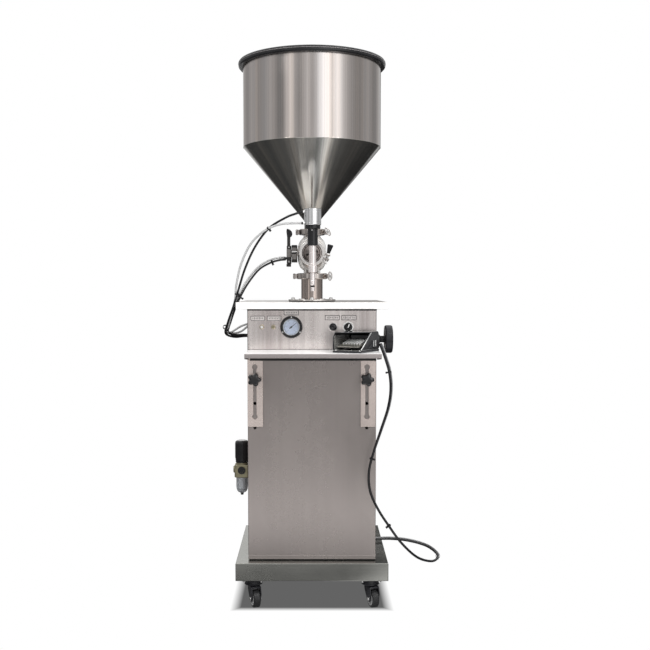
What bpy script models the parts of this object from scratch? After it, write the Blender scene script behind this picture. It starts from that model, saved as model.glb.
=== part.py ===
"""Piston liquid filler: a hopper over a rotary valve and a piston cylinder, on a wheeled cabinet.

Sizes are millimetres in the machine's own axes: X to the right, -Y to the operator, Z up, and
the origin on the floor under the middle of the base. Each shape is scaled to metres as it is made.
"""

import math

import bmesh
import bpy
from mathutils import Vector

METRE = 0.001
GAP = 0.3

# The footprint's middle, so that the machine stands centred over the world's origin.
FOOTPRINT_CENTRE = (66.023, -63.75, 0.0)

# Casters
WHEEL_RADIUS = 25.0
WHEEL_WIDTH = 20.0
CASTER_X = 167.0
CASTER_Y = 170.0
CASTER_TRAIL = 22.0
CASTER_REST_TURN = 18.0
CASTER_HEIGHT = 80.0
CASTER_PLATE = 64.0

# Base, cabinet and table
BASE_WIDTH = 430.0
BASE_DEPTH = 418.0
DECK_TOP = 131.0
CABINET_WIDTH = 362.0
CABINET_FRONT = -178.5
CABINET_BACK = 180.0
SHEET = 2.0
PANEL_BOTTOM = 733.0
PANEL_TOP = 845.3
DOOR_WIDTH = 312.0
DOOR_BOTTOM = 172.0
DOOR_TOP = 808.0
DOOR_PIVOT = (-159.5, 184.0)
DOOR_OPENING = (296.0, 620.0)
DOOR_MIDDLE = (DOOR_BOTTOM + DOOR_TOP) / 2
TABLE_WIDTH = 421.0
TABLE_DEPTH = 425.0
TABLE_TOP = 865.0
TABLE_SKIRT = 19.0

# The stack of hopper, valve and cylinder stands on one axis
STACK_Y = -81.0
CYLINDER_RADIUS = 31.0
CYLINDER_BORE = 27.0
CYLINDER_BOTTOM = 765.0
LOWER_JOINT = 938.0
UPPER_JOINT = 1064.5
VALVE_CENTRE = 1003.0
VALVE_RADIUS = 41.0
SMALL_FERRULE = 32.0
LARGE_FERRULE = 38.75
FERRULE = 5.7
FRONT_JOINT = -137.0
FRONT_CLAMP_LEAN = 15
HOPPER_RADIUS = 196.3
HOPPER_SHOULDER = 1304.0
HOPPER_TOP = 1536.0
HOPPER_NECK_TOP = 1098.0
NECK_RADIUS = 22.0
RIM_RADIUS = 209.4

# Filling nozzle
NOZZLE_X = 2.0
NOZZLE_Y = -250.0
NOZZLE_TIP = 896.0
OUTLET_Z = 990.0

# Piston drive inside the cabinet
AIR_CYLINDER_BOTTOM = 353.0
AIR_CYLINDER_TOP = 567.0
BRACKET_TOP = 573.4
LEAD_SCREW_X = 110.0
SHAFT_Y = -100.0
SHAFT_Z = 757.0
STOP_BOTTOM = 705.0
GEAR_TEETH = 12
GEAR_PITCH_RADIUS = 15.0

# Handwheel
HANDWHEEL_RADIUS = 40.0
HANDWHEEL_LEFT = 209.0
HANDWHEEL_RIGHT = 232.0

# Controls on the panel
CONTROL_Z = 795.5
GAUGE_X = -57.4
GAUGE_RADIUS = 31.0
BUTTON_X = 59.0
SELECTOR_X = 101.0
SELECTOR_REST_TURN = 20.0
NEEDLE_VALVES_X = (-140.0, -108.0)

# Container platform, its brackets and star knobs
PLATFORM_TOP = 732.0
PLATFORM_LIP = 12.5
PLATFORM_FRONT = -340.0
PLATFORM_BACK = -182.2
PLATFORM_X = 3.0
BRACKET_FACE = -181.9
BRACKET_THICK = 3.0
BRACKET_BOTTOM = 514.0
SLOT_LOW = 542.7
SLOT_HIGH = 683.0
SLOT_WIDTH = 9.4
KNOB_Z = 649.0
LEFT_KNOB_X = -160.5
RIGHT_KNOB_X = 154.5
STUD_RADIUS = 4.0
STUD_HOLE_PITCH = 69.0

# Foot pedal, resting on the platform
PEDAL_CENTRE = (120.2, -261.8)
PEDAL_TURN = -27.0
PEDAL_WIDTH = 84.0
PEDAL_LENGTH = 126.0
PEDAL_HEIGHT = 54.0
PEDAL_HINGE = (20.0, 30.0)

# Filter and regulator on the left side
FILTER_X = -205.0
FILTER_Y = -80.0
FILTER_PORT_Z = 373.5

# Hose entries in the cabinet's left side
HOSE_ENTRY_Y = -60.0
HOSE_ENTRY_HEIGHTS = (764.0, 802.0)


def tuned_material(name, colour, roughness, metallic):
    """One Principled material."""
    material = bpy.data.materials.new(name)
    material.use_nodes = True
    shader = material.node_tree.nodes["Principled BSDF"]
    shader.inputs["Base Color"].default_value = (*colour, 1.0)
    shader.inputs["Roughness"].default_value = roughness
    shader.inputs["Metallic"].default_value = metallic
    return material


FINISHES = {
    "brushed": ((0.55, 0.52, 0.49), 0.35, 1.0),
    "polished": ((0.70, 0.69, 0.68), 0.18, 1.0),
    "base": ((0.45, 0.46, 0.43), 0.35, 1.0),
    "aluminium": ((0.78, 0.78, 0.79), 0.30, 1.0),
    "dark_metal": ((0.10, 0.10, 0.11), 0.25, 0.9),
    "black_plastic": ((0.02, 0.02, 0.022), 0.35, 0.0),
    "rubber": ((0.02, 0.02, 0.02), 0.7, 0.0),
    "brass": ((0.42, 0.39, 0.28), 0.4, 0.8),
    "clear": ((0.75, 0.76, 0.78), 0.1, 0.0),
    "needle_paint": ((0.02, 0.02, 0.02), 0.5, 0.0),
    "seal": ((0.9, 0.9, 0.88), 0.5, 0.0),
}


# ---------------------------------------------------------------- shapes

def bridge(bm, rings, closed_loop):
    """Joins rings of the same number of points; a ring of one point is a pole."""
    pairs = list(zip(rings, rings[1:]))
    if closed_loop:
        pairs.append((rings[-1], rings[0]))
    for low, high in pairs:
        count = max(len(low), len(high))
        for i in range(count):
            j = (i + 1) % count
            corners = [low[i % len(low)], low[j % len(low)], high[j % len(high)], high[i % len(high)]]
            unique = list(dict.fromkeys(corners))
            if len(unique) > 2:
                bm.faces.new(unique)


def finished(bm):
    """Flat faces turned outwards, and millimetres turned into metres."""
    bmesh.ops.recalc_face_normals(bm, faces=bm.faces)
    bmesh.ops.triangulate(bm, faces=bm.faces)
    bmesh.ops.scale(bm, vec=(METRE,) * 3, verts=bm.verts)
    return bm


def block(size, centre=(0, 0, 0), bevel=0.0):
    """A box, its edges optionally chamfered."""
    bm = bmesh.new()
    bmesh.ops.create_cube(bm, size=1.0)
    bmesh.ops.scale(bm, vec=size, verts=bm.verts)
    if bevel:
        bmesh.ops.bevel(bm, geom=bm.edges, offset=bevel, segments=1, affect="EDGES")
    bmesh.ops.translate(bm, vec=centre, verts=bm.verts)
    return finished(bm)


# Cross bores start their facets at different angles, so that no two facets meet edge to edge.
PHASES = {"X": 0.017, "Y": 0.031, "Z": 0.0}
AXES = {
    "X": lambda a, b, c: (c, a, b),
    "Y": lambda a, b, c: (b, c, a),
    "Z": lambda a, b, c: (a, b, c),
}


def turned(profile, centre=(0, 0, 0), axis="Z", segments=24):
    """Turns (radius, height) points about an axis: a solid if it starts and ends on the axis,
    and otherwise a ring whose profile closes on itself."""
    bm = bmesh.new()
    place = AXES[axis]
    rings = []
    for radius, height in profile:
        count = segments if radius > 0 else 1
        ring = []
        for i in range(count):
            angle = 2 * math.pi * i / segments + PHASES[axis]
            point = Vector(place(radius * math.cos(angle), radius * math.sin(angle), height))
            ring.append(bm.verts.new(point + Vector(centre)))
        rings.append(ring)
    bridge(bm, rings, closed_loop=profile[0][0] > 0)
    return finished(bm)


def rod(radius, low, high, centre=(0, 0, 0), axis="Z", segments=16):
    """A plain round bar between two heights along its axis."""
    return turned([(0, low), (radius, low), (radius, high), (0, high)], centre, axis, segments)


def ring(inner, outer, low, high, centre=(0, 0, 0), axis="Z", segments=24):
    """A washer or a short tube."""
    profile = [(inner, low), (outer, low), (outer, high), (inner, high)]
    return turned(profile, centre, axis, segments)


def prism(outline, low, high, centre=(0, 0, 0), axis="Z"):
    """An outline extruded along an axis."""
    bm = bmesh.new()
    place = AXES[axis]
    rings = []
    for height in (low, high):
        points = [Vector(place(a, b, height)) + Vector(centre) for a, b in outline]
        rings.append([bm.verts.new(point) for point in points])
    bridge(bm, rings, closed_loop=False)
    bm.faces.new(rings[0])
    bm.faces.new(rings[1])
    return finished(bm)


def stacked(rings_of_points, centre=(0, 0, 0)):
    """Skins a stack of equal rings and closes both ends."""
    bm = bmesh.new()
    rings = [[bm.verts.new(Vector(p) + Vector(centre)) for p in points] for points in rings_of_points]
    bridge(bm, rings, closed_loop=False)
    bm.faces.new(rings[0])
    bm.faces.new(rings[-1])
    return finished(bm)


def spline(points, steps):
    """A Catmull-Rom curve through the given points."""
    knots = [Vector(p) for p in points]
    knots = [2 * knots[0] - knots[1]] + knots + [2 * knots[-1] - knots[-2]]
    curve = []
    for a, b, c, d in zip(knots, knots[1:], knots[2:], knots[3:]):
        for step in range(steps):
            t = step / steps
            curve.append(0.5 * (2 * b + (c - a) * t + (2 * a - 5 * b + 4 * c - d) * t * t
                                + (3 * b - a - 3 * c + d) * t ** 3))
    curve.append(knots[-2])
    return curve


def hose(points, radius, steps=2, sides=6):
    """A round hose along a curve, its section carried along without twist."""
    path = spline(points, steps)
    side = (path[1] - path[0]).orthogonal().normalized()
    rings = []
    for i, point in enumerate(path):
        ahead = (path[min(i + 1, len(path) - 1)] - path[max(i - 1, 0)]).normalized()
        side = (side - ahead * side.dot(ahead)).normalized()
        up = ahead.cross(side)
        angles = [2 * math.pi * k / sides for k in range(sides)]
        rings.append([point + radius * (math.cos(a) * side + math.sin(a) * up) for a in angles])
    return stacked(rings)


def oval(half_length, half_width, count=16):
    """Points of an ellipse."""
    angles = [2 * math.pi * i / count for i in range(count)]
    return [(half_length * math.cos(a), half_width * math.sin(a)) for a in angles]


# ---------------------------------------------------------------- objects

def start():
    """Empties the scene and makes the empty that carries the machine."""
    for obj in list(bpy.data.objects):
        bpy.data.objects.remove(obj, do_unlink=True)
    materials = {name: tuned_material(name, *finish) for name, finish in FINISHES.items()}
    return materials, empty("machine", tuple(-c for c in FOOTPRINT_CENTRE), None)


def empty(name, at, parent, turn=(0, 0, 0)):
    obj = bpy.data.objects.new(name, None)
    obj.location = [c * METRE for c in at]
    obj.rotation_euler = [math.radians(angle) for angle in turn]
    obj.parent = parent
    bpy.context.scene.collection.objects.link(obj)
    return obj


def object_from(name, bm, parent, at, turn):
    mesh = bpy.data.meshes.new(name)
    bm.to_mesh(mesh)
    bm.free()
    obj = bpy.data.objects.new(name, mesh)
    obj.location = [c * METRE for c in at]
    obj.rotation_euler = [math.radians(angle) for angle in turn]
    obj.parent = parent
    bpy.context.scene.collection.objects.link(obj)
    return obj


def part(name, bm, finish, at=(0, 0, 0), turn=(0, 0, 0), parent=None, add=(), cut=()):
    """A node: a first shape, the shapes joined to it, then the shapes cut from it.
    All of them are in the coordinates of the node's own origin."""
    parent = parent or MACHINE
    obj = object_from(name, bm, parent, at, turn)
    obj.data.materials.append(MATERIALS[finish])
    for operation, shapes in (("UNION", add), ("DIFFERENCE", cut)):
        if not shapes:
            continue
        helpers = bpy.data.collections.new(f"{name}_{operation.lower()}")
        bpy.context.scene.collection.children.link(helpers)
        for number, shape in enumerate(shapes):
            helper = object_from(f"{name}_{operation.lower()}_{number}", shape, parent, at, turn)
            bpy.context.scene.collection.objects.unlink(helper)
            helpers.objects.link(helper)
            helper.hide_render = True
            helper.display_type = "WIRE"
        modifier = obj.modifiers.new(operation.lower(), "BOOLEAN")
        modifier.operation = operation
        modifier.operand_type = "COLLECTION"
        modifier.solver = "EXACT"
        modifier.collection = helpers
    obj.data.shade_smooth()
    obj.data.set_sharp_from_angle(angle=math.radians(35))
    return obj


# ---------------------------------------------------------------- base and cabinet

def make_caster(name, side_x, side_y):
    """A swivel caster: its fork turns about the empty's Z axis and its wheel about the axle."""
    place = (side_x * CASTER_X, side_y * CASTER_Y, 0)
    pivot = empty(f"{name}_swivel", place, MACHINE, (0, 0, CASTER_REST_TURN))
    head_top = CASTER_HEIGHT - 3 - GAP
    crown = 54.0
    leg = [(-CASTER_TRAIL - 7, WHEEL_RADIUS - 7), (-CASTER_TRAIL + 7, WHEEL_RADIUS - 7),
           (8, crown + 4), (-32, crown + 4)]
    axle = rod(3, -15, 15, (0, -CASTER_TRAIL, WHEEL_RADIUS), "X", 10)
    head = [(0, crown + 3), (17, crown + 3), (24, 67), (24, head_top), (0, head_top)]
    part(f"{name}_fork", turned(head, segments=16), "black_plastic", parent=pivot,
         add=[block((28, 42, 4), (0, -12, crown + 2)),
              prism(leg, -14, -11.6, axis="X"), prism(leg, 11.6, 14, axis="X"), axle])
    half = WHEEL_WIDTH / 2
    profile = [(3.4, -half), (23, -half), (WHEEL_RADIUS, 2 - half), (WHEEL_RADIUS, half - 2), (23, half),
               (3.4, half)]
    part(f"{name}_wheel", turned(profile, axis="X", segments=20), "rubber",
         at=(0, -CASTER_TRAIL, WHEEL_RADIUS), parent=pivot)


def make_base():
    """A folded tray with a turned-in bottom flange that carries the caster plates."""
    low = CASTER_HEIGHT
    height = DECK_TOP - low
    middle = (low + DECK_TOP) / 2
    pocket = block((BASE_WIDTH - 2 * SHEET, BASE_DEPTH - 2 * SHEET, height - 2 * SHEET), (0, 0, middle))
    window = block((BASE_WIDTH - 180, BASE_DEPTH - 180, 10), (0, 0, low))
    plates = [block((CASTER_PLATE, CASTER_PLATE, 3.5), (sx * CASTER_X, sy * CASTER_Y, low - 1.25))
              for sx in (-1, 1) for sy in (-1, 1)]
    part("base_frame", block((BASE_WIDTH, BASE_DEPTH, height), (0, 0, middle), bevel=1.5), "base",
         add=plates, cut=[pocket, window])


def make_cabinet():
    """The column of bent sheet, open at the back behind its door and at the front behind the panel."""
    low, high = DECK_TOP + GAP, TABLE_TOP - SHEET - GAP
    depth = CABINET_BACK - CABINET_FRONT
    middle = (0, (CABINET_BACK + CABINET_FRONT) / 2, (low + high) / 2)
    inside = block((CABINET_WIDTH - 2 * SHEET, depth - 2 * SHEET, high - low + 10), middle)
    door_hole = block((DOOR_OPENING[0], 20, DOOR_OPENING[1]), (0, CABINET_BACK, DOOR_MIDDLE))
    panel_hole = block((CABINET_WIDTH - 2 * SHEET, 20, PANEL_TOP - PANEL_BOTTOM + 2 * GAP),
                       (0, CABINET_FRONT, (PANEL_TOP + PANEL_BOTTOM) / 2))
    studs = [rod(STUD_RADIUS + 0.5, -10, 10, (x, CABINET_FRONT, KNOB_Z - step * STUD_HOLE_PITCH), "Y", 10)
             for x in (LEFT_KNOB_X, RIGHT_KNOB_X) for step in range(3)]
    shaft_hole = rod(7, 170, 190, (0, SHAFT_Y, SHAFT_Z), "X", 12)
    hose_holes = [rod(9, -190, -170, (0, HOSE_ENTRY_Y, z), "X", 10) for z in HOSE_ENTRY_HEIGHTS]
    part("cabinet_shell", block((CABINET_WIDTH, depth, high - low), middle, bevel=1.5), "brushed",
         cut=[inside, door_hole, panel_hole, shaft_hole] + studs + hose_holes)


def make_rear_door():
    """A lift-over door hinged at its left edge, with a round pull at its right."""
    x, y = DOOR_PIVOT
    height = DOOR_TOP - DOOR_BOTTOM
    sheet_back = CABINET_BACK + 0.6 - y
    sheet = block((DOOR_WIDTH, SHEET, height), (DOOR_WIDTH / 2, sheet_back + SHEET / 2, 0), bevel=0.4)
    part("rear_door", sheet, "brushed", at=(x, y, DOOR_MIDDLE),
         add=[rod(3.2, -height / 2 + 20, height / 2 - 20, segments=10),
              turned([(0, -2.5), (9, -2.5), (9, 6), (14, 12), (14, 18), (0, 20)],
                     (DOOR_WIDTH - 25, 0, 0), "Y", 14)])


def make_table():
    """The shallow tray on top of the cabinet, with the hole for the product cylinder."""
    low = TABLE_TOP - TABLE_SKIRT
    pocket = block((TABLE_WIDTH - 2 * SHEET, TABLE_DEPTH - 2 * SHEET, TABLE_SKIRT),
                   (0, 0, low + TABLE_SKIRT / 2 - SHEET))
    slab = block((TABLE_WIDTH, TABLE_DEPTH, TABLE_SKIRT), (0, 0, low + TABLE_SKIRT / 2), bevel=1.0)
    part("table_top", slab, "brushed",
         cut=[pocket, rod(33, TABLE_TOP - 10, TABLE_TOP + 5, (0, STACK_Y, 0), segments=24)])


def make_panel():
    """The control panel set flush in the cabinet's front."""
    holes = [rod(24, -190, -170, (GAUGE_X, 0, CONTROL_Z), "Y", 24),
             rod(9.8, -190, -170, (BUTTON_X, 0, CONTROL_Z), "Y", 14),
             rod(9.8, -190, -170, (SELECTOR_X, 0, CONTROL_Z), "Y", 14)]
    holes += [rod(4.5, -190, -170, (x, 0, CONTROL_Z), "Y", 10) for x in NEEDLE_VALVES_X]
    part("control_panel",
         block((CABINET_WIDTH - 2 * SHEET - 2 * GAP, SHEET, PANEL_TOP - PANEL_BOTTOM),
               (0, CABINET_FRONT + SHEET / 2, (PANEL_TOP + PANEL_BOTTOM) / 2)), "polished", cut=holes)


# ---------------------------------------------------------------- product stack

def make_cylinder():
    """The product cylinder through the table, its flange, and the large ferrule at its top."""
    stack = (0, STACK_Y, 0)
    nuts = [rod(5.5, TABLE_TOP + 4, TABLE_TOP + 12.5, (55 * cx, STACK_Y + 55 * cy, 0), segments=6)
            for cx, cy in ((1, 0), (-1, 0), (0, 1), (0, -1))]
    plate = ring(CYLINDER_RADIUS + 0.4, 70, TABLE_TOP + GAP, TABLE_TOP + 6.3, stack, segments=28)
    part("mounting_flange", plate, "polished", add=nuts)
    top = LOWER_JOINT - 0.8
    profile = [(CYLINDER_BORE, CYLINDER_BOTTOM), (CYLINDER_RADIUS, CYLINDER_BOTTOM),
               (CYLINDER_RADIUS, top - FERRULE), (LARGE_FERRULE, top - FERRULE / 2),
               (LARGE_FERRULE, top), (CYLINDER_BORE, top)]
    part("material_cylinder", turned(profile, stack, segments=28), "polished")


def make_valve():
    """The three-way valve body: a barrel with a ferrule at its top, bottom and front, bored for
    the rotor from the left."""
    low, high = LOWER_JOINT + 0.8, UPPER_JOINT - 0.8
    bore = 17.0
    radius = VALVE_RADIUS
    profile = [(0, low), (LARGE_FERRULE, low), (LARGE_FERRULE, low + FERRULE / 2), (24, low + FERRULE),
               (24, 955), (radius - 3, 971), (radius, VALVE_CENTRE), (radius - 3, 1033),
               (radius - 10, 1044), (24, 1052), (24, high - FERRULE), (SMALL_FERRULE, high - FERRULE / 2),
               (SMALL_FERRULE, high), (0, high)]
    face = FRONT_JOINT + 0.8 - STACK_Y
    port = turned([(0, -30), (25.4, -30), (25.4, face + FERRULE), (SMALL_FERRULE, face + FERRULE / 2),
                   (SMALL_FERRULE, face), (0, face)], (0, STACK_Y, VALVE_CENTRE), "Y", 24)
    part("valve_body", turned(profile, (0, STACK_Y, 0), segments=24), "polished", add=[port],
         cut=[rod(bore, low - 5, high + 5, (0, STACK_Y, 0), segments=18),
              rod(14.5, face - 5, -15, (0, STACK_Y, VALVE_CENTRE), "Y", 22),
              rod(21, -60, 33, (0, STACK_Y, VALVE_CENTRE), "X", 24)])


def make_rotor():
    """The valve's plug, with a T-shaped passage, and its shaft into the actuator."""
    part("valve_rotor", turned([(0, -60), (6, -60), (6, -34), (20.6, -34), (20.6, 32), (0, 32)], axis="X"),
         "polished", at=(0, STACK_Y, VALVE_CENTRE),
         cut=[rod(13, -30, 30), rod(13, 0, 30, axis="Y")])


def make_actuator():
    """The slim rotary actuator on the valve's left, held off it by its mounting block."""
    centre = (0, STACK_Y, VALVE_CENTRE)
    top = [(0, 1058), (8, 1058), (8, 1066), (5, 1074), (0, 1075)]
    part("rotary_actuator", block((15, 30, 94), (-65.5, STACK_Y, 1012.5), bevel=2), "dark_metal",
         add=[block((16.2, 46, 48), (-50.4, STACK_Y, VALVE_CENTRE), bevel=1.5),
              turned(top, (-65.5, STACK_Y, 0), segments=14)],
         cut=[rod(7, -62, -40, centre, "X", 12)])


def make_hopper():
    """The hopper: a thin spun shell from its ferrule to its rim, and the trim around that rim."""
    low = UPPER_JOINT + 0.8
    wall = 2.0
    outer, inner = HOPPER_RADIUS, HOPPER_RADIUS - wall
    profile = [(NECK_RADIUS - wall, low), (SMALL_FERRULE, low), (SMALL_FERRULE, low + FERRULE / 2),
               (NECK_RADIUS, low + FERRULE), (NECK_RADIUS, HOPPER_NECK_TOP), (outer, HOPPER_SHOULDER),
               (outer, HOPPER_TOP - wall), (204, HOPPER_TOP - wall), (204, HOPPER_TOP), (inner, HOPPER_TOP),
               (inner, HOPPER_SHOULDER + 1), (NECK_RADIUS - wall, HOPPER_NECK_TOP + 1)]
    part("hopper", turned(profile, (0, STACK_Y, 0), segments=40), "brushed")
    trim = [(197, 1528), (206, 1528), (RIM_RADIUS, 1531.5), (RIM_RADIUS, 1540), (206, 1543.7), (196, 1543.7),
            (196, HOPPER_TOP + GAP), (204.4, HOPPER_TOP + GAP),
            (204.4, HOPPER_TOP - wall - GAP), (197, HOPPER_TOP - wall - GAP)]
    part("hopper_rim_trim", turned(trim, (0, STACK_Y, 0), segments=40), "rubber")


def make_clamp(name, ferrule, lug, at, turn, nut):
    """A hinged pipe clamp around two ferrules. In its own axes the ring's axis is Z, the hinge
    is at -X, and the swing bolt runs along Y through the ears at +X."""
    outer = ferrule + 5
    lip = ferrule - 4
    half = 8.5
    ear_x = outer + 6.5
    bolt_x = outer + 8
    profile = [(lip, -half), (outer, -half), (outer, half), (lip, half), (lip, 6.8),
               (ferrule + 0.4, 6.8), (ferrule + 0.4, -6.8), (lip, -6.8)]
    ears = [block((18, 5, 13), (ear_x, side * 6, 0)) for side in (-1, 1)]
    part(name, turned(profile, segments=28), "polished", at=at, turn=turn,
         add=ears + [block((lug + 4, 14, 13), (-outer - lug / 2 + 2, 0, 0), bevel=3),
                     rod(3.4, -31, 11, (bolt_x, 0, 0), "Y", 10)],
         cut=[block((30, 4, 30), (outer, 0, 0))])
    nut_name, nut_shape, nut_finish, nut_extra = nut
    part(nut_name, nut_shape, nut_finish,
         at=nut_place(at, turn, bolt_x), turn=turn, add=nut_extra,
         cut=[rod(3.8, -40, -5, (0, 0, 0), "Y", 10)])


def nut_place(at, turn, bolt_x):
    """A nut's origin is on its bolt, in the clamp's plane. A clamp can lean about Y."""
    lean = math.radians(turn[1])
    return (at[0] + bolt_x * math.cos(lean), at[1], at[2] - bolt_x * math.sin(lean))


def wing_nut(lean):
    """A barrel with two rounded wings, leaning in the plane across the bolt."""
    tilt = math.radians(lean)
    wings = [(math.cos(tilt) * a - math.sin(tilt) * b, math.sin(tilt) * a + math.cos(tilt) * b)
             for a, b in oval(13.5, 5.5, 20)]
    # The prism's outline is read as (Z, X) along the Y axis.
    return rod(6.5, -29, -9.3, axis="Y", segments=12), [prism(wings, -28.5, -24, axis="Y")]


def make_clamps():
    """Three pipe clamps: under the hopper, over the cylinder and on the outlet port."""
    upper, upper_wings = wing_nut(-35)
    make_clamp("upper_clamp", SMALL_FERRULE, 9, (0, STACK_Y, UPPER_JOINT), (0, 0, 0),
               ("upper_wing_nut", upper, "polished", upper_wings))
    lower, lower_wings = wing_nut(0)
    make_clamp("lower_clamp", LARGE_FERRULE, 10, (0, STACK_Y, LOWER_JOINT), (0, 0, 0),
               ("lower_wing_nut", lower, "polished", lower_wings))
    knob = turned([(0, -34), (5, -34), (7.5, -32), (6.5, -19), (5, -9.3), (0, -9.3)], axis="Y", segments=12)
    make_clamp("front_clamp", SMALL_FERRULE, 4, (0, FRONT_JOINT, VALVE_CENTRE), (-90, FRONT_CLAMP_LEAN, 0),
               ("front_clamp_nut", knob, "black_plastic", []))


# ---------------------------------------------------------------- outlet and nozzle

def make_outlet():
    """The reducing bend from the valve's front port to the nozzle."""
    face = FRONT_JOINT - 0.8
    start_ring = [(0, face), (SMALL_FERRULE, face), (SMALL_FERRULE, face - FERRULE / 2), (24, face - FERRULE),
                  (24, face - 8), (9, face - 38), (9, face - 40), (0, face - 40)]
    end = NOZZLE_Y + 10.4
    drop = VALVE_CENTRE - OUTLET_Z
    bend = hose([(0, face - 30, VALVE_CENTRE), (0, face - 45, VALVE_CENTRE - 2),
                 (NOZZLE_X / 2, face - 62, VALVE_CENTRE - drop / 2 - 3), (NOZZLE_X, end + 14, OUTLET_Z),
                 (NOZZLE_X, end, OUTLET_Z)], 8.0, steps=2, sides=12)
    bore = [(0, face + 2), (17, face + 2), (17, face - 8), (5.5, face - 34), (0, face - 34)]
    part("outlet_pipe", turned(start_ring, (0, 0, VALVE_CENTRE), "Y", 24), "polished", add=[bend],
         cut=[turned(bore, (0, 0, VALVE_CENTRE), "Y", 18)])


def make_nozzle():
    """The shut-off nozzle: a body with a hollow stem, a spacer, and an air cylinder that lifts the rod."""
    at = (NOZZLE_X, NOZZLE_Y, 0)
    body = [(4.6, NOZZLE_TIP), (5.5, NOZZLE_TIP), (5.5, 914), (6.9, 916), (6.9, 945), (12, 946.5),
            (12, 966), (9.8, 967.5), (9.8, 1018.7), (4.6, 1018.7)]
    port = rod(5, -0.5, 11, (0, 0, OUTLET_Z), "Y", 10)
    part("nozzle_body", turned(body, segments=20), "polished", at=at, cut=[port])
    spacer = [(4.4, 1019), (14, 1019), (14, 1063.5), (20, 1063.5), (21, 1064.5), (21, 1073.7), (4.4, 1073.7)]
    part("nozzle_spacer", turned(spacer, segments=20), "black_plastic", at=at)
    cylinder = [(0, 1118), (23, 1118), (23, 1074), (4.4, 1074), (4.4, 1077), (18, 1077), (18, 1113),
                (0, 1113)]
    fittings = [rod(3.5, -27.5, -20, (0, 0, z), "X", 10) for z in (1079, 1110)]
    part("nozzle_air_cylinder", turned(cylinder, segments=20), "aluminium", at=at, add=fittings)
    plunger = [(0, NOZZLE_TIP + 2), (4.2, NOZZLE_TIP + 2), (4.2, 906), (3, 908), (3, 1080), (17.5, 1080),
               (17.5, 1088), (0, 1088)]
    part("nozzle_rod", turned(plunger, segments=14), "polished", at=at)


# ---------------------------------------------------------------- piston drive

def make_piston_drive():
    """Air cylinder, its bracket, and the rod that carries the product piston."""
    stack = (0, STACK_Y, 0)
    low, high = AIR_CYLINDER_BOTTOM, AIR_CYLINDER_TOP
    cap = 22.0
    part("air_cylinder", block((76, 76, cap), (0, STACK_Y, low + cap / 2), bevel=3), "aluminium",
         add=[rod(35, low + cap - 2, high - cap + 2, stack, segments=24),
              block((76, 76, cap), (0, STACK_Y, high - cap / 2), bevel=3)],
         cut=[rod(31.5, low + cap + 2, high - cap - 2, stack, segments=24),
              rod(8.5, high - cap - 5, high + 5, stack, segments=12)])
    plate_low = high + 0.4
    screw = (LEAD_SCREW_X, SHAFT_Y, 0)
    flanges = [block((3, 120, 30), (side * 177, -85, BRACKET_TOP - 15)) for side in (-1, 1)]
    part("cylinder_bracket",
         block((356, 120, BRACKET_TOP - plate_low), (0, -85, (BRACKET_TOP + plate_low) / 2)), "brushed",
         add=flanges, cut=[rod(12, plate_low - 5, BRACKET_TOP + 5, stack, segments=14),
                           rod(5.6, plate_low - 5, BRACKET_TOP + 5, screw, segments=12)])
    rest = low + cap + 5
    crown = CYLINDER_BOTTOM + 25
    profile = [(0, rest), (31.2, rest), (31.2, rest + 14), (8, rest + 14), (8, 580), (24, 580), (24, 584),
               (8, 584), (8, crown - 22), (26, crown - 22), (26, crown - 17), (20, crown - 17),
               (20, crown - 7), (26, crown - 7), (26, crown), (0, crown)]
    part("piston_rod", turned(profile, segments=20), "polished", at=stack)
    part("piston_seal", ring(20.3, 26.7, crown - 16.7, crown - 7.3, segments=20), "seal", at=stack)


def circle(radius, z, count):
    angles = [2 * math.pi * i / count for i in range(count)]
    return [(radius * math.cos(a), radius * math.sin(a), z) for a in angles]


def gear_ring(scale, phase):
    """The toothed edge of a mitre gear whose cone points up to the origin, scaled towards it."""
    tooth = 2 * math.pi / GEAR_TEETH
    points = []
    for i in range(GEAR_TEETH):
        for part_of_tooth, tooth_height in ((-0.27, -1.9), (-0.13, 1.3), (0.13, 1.3), (0.27, -1.9)):
            angle = tooth * (i + part_of_tooth + phase)
            lift = tooth_height * math.sqrt(0.5)
            radius = (GEAR_PITCH_RADIUS + lift) * scale
            height_here = (lift - GEAR_PITCH_RADIUS) * scale
            points.append((radius * math.cos(angle), radius * math.sin(angle), height_here))
    return points


def geared_shaft(phase, radii_and_heights):
    """A mitre gear facing up, and the shaft below it as a list of (radius, height)."""
    count = 4 * GEAR_TEETH
    rings = [circle(5, -9, count), gear_ring(0.6, phase), gear_ring(1.0, phase), circle(9, -21, count)]
    rings += [circle(radius, height, count) for radius, height in radii_and_heights]
    return stacked(rings)


def make_stroke_adjuster():
    """The handwheel's shaft drives an upright screw through mitre gears, and the screw moves the stop."""
    apex = (LEAD_SCREW_X, SHAFT_Y, SHAFT_Z)
    journal = BRACKET_TOP - SHAFT_Z
    screw = [(8, -21.5), (8, journal + 3), (5, journal + 2.5), (5, journal - 9)]
    part("lead_screw", geared_shaft(0, screw), "polished", at=apex)
    reach = HANDWHEEL_RIGHT - 4 - LEAD_SCREW_X
    shaft = [(6, -21.5), (6, -reach)]
    part("handwheel_shaft", geared_shaft(0.5, shaft), "polished", at=apex, turn=(0, -90, 0))
    stop = [(-13, -13), (13, -13), (13, 13), (-LEAD_SCREW_X + 20, 34), (-LEAD_SCREW_X - 18, 38),
            (-LEAD_SCREW_X - 18, 0), (-LEAD_SCREW_X + 20, 2)]
    part("stop_carriage", prism(stop, 0, 8), "aluminium", at=(LEAD_SCREW_X, SHAFT_Y, STOP_BOTTOM),
         add=[rod(13, -14, 20, segments=18)],
         cut=[rod(8.5, -20, 30, segments=14),
              rod(10, -5, 15, (-LEAD_SCREW_X, STACK_Y - SHAFT_Y, 0), segments=14)])


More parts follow.
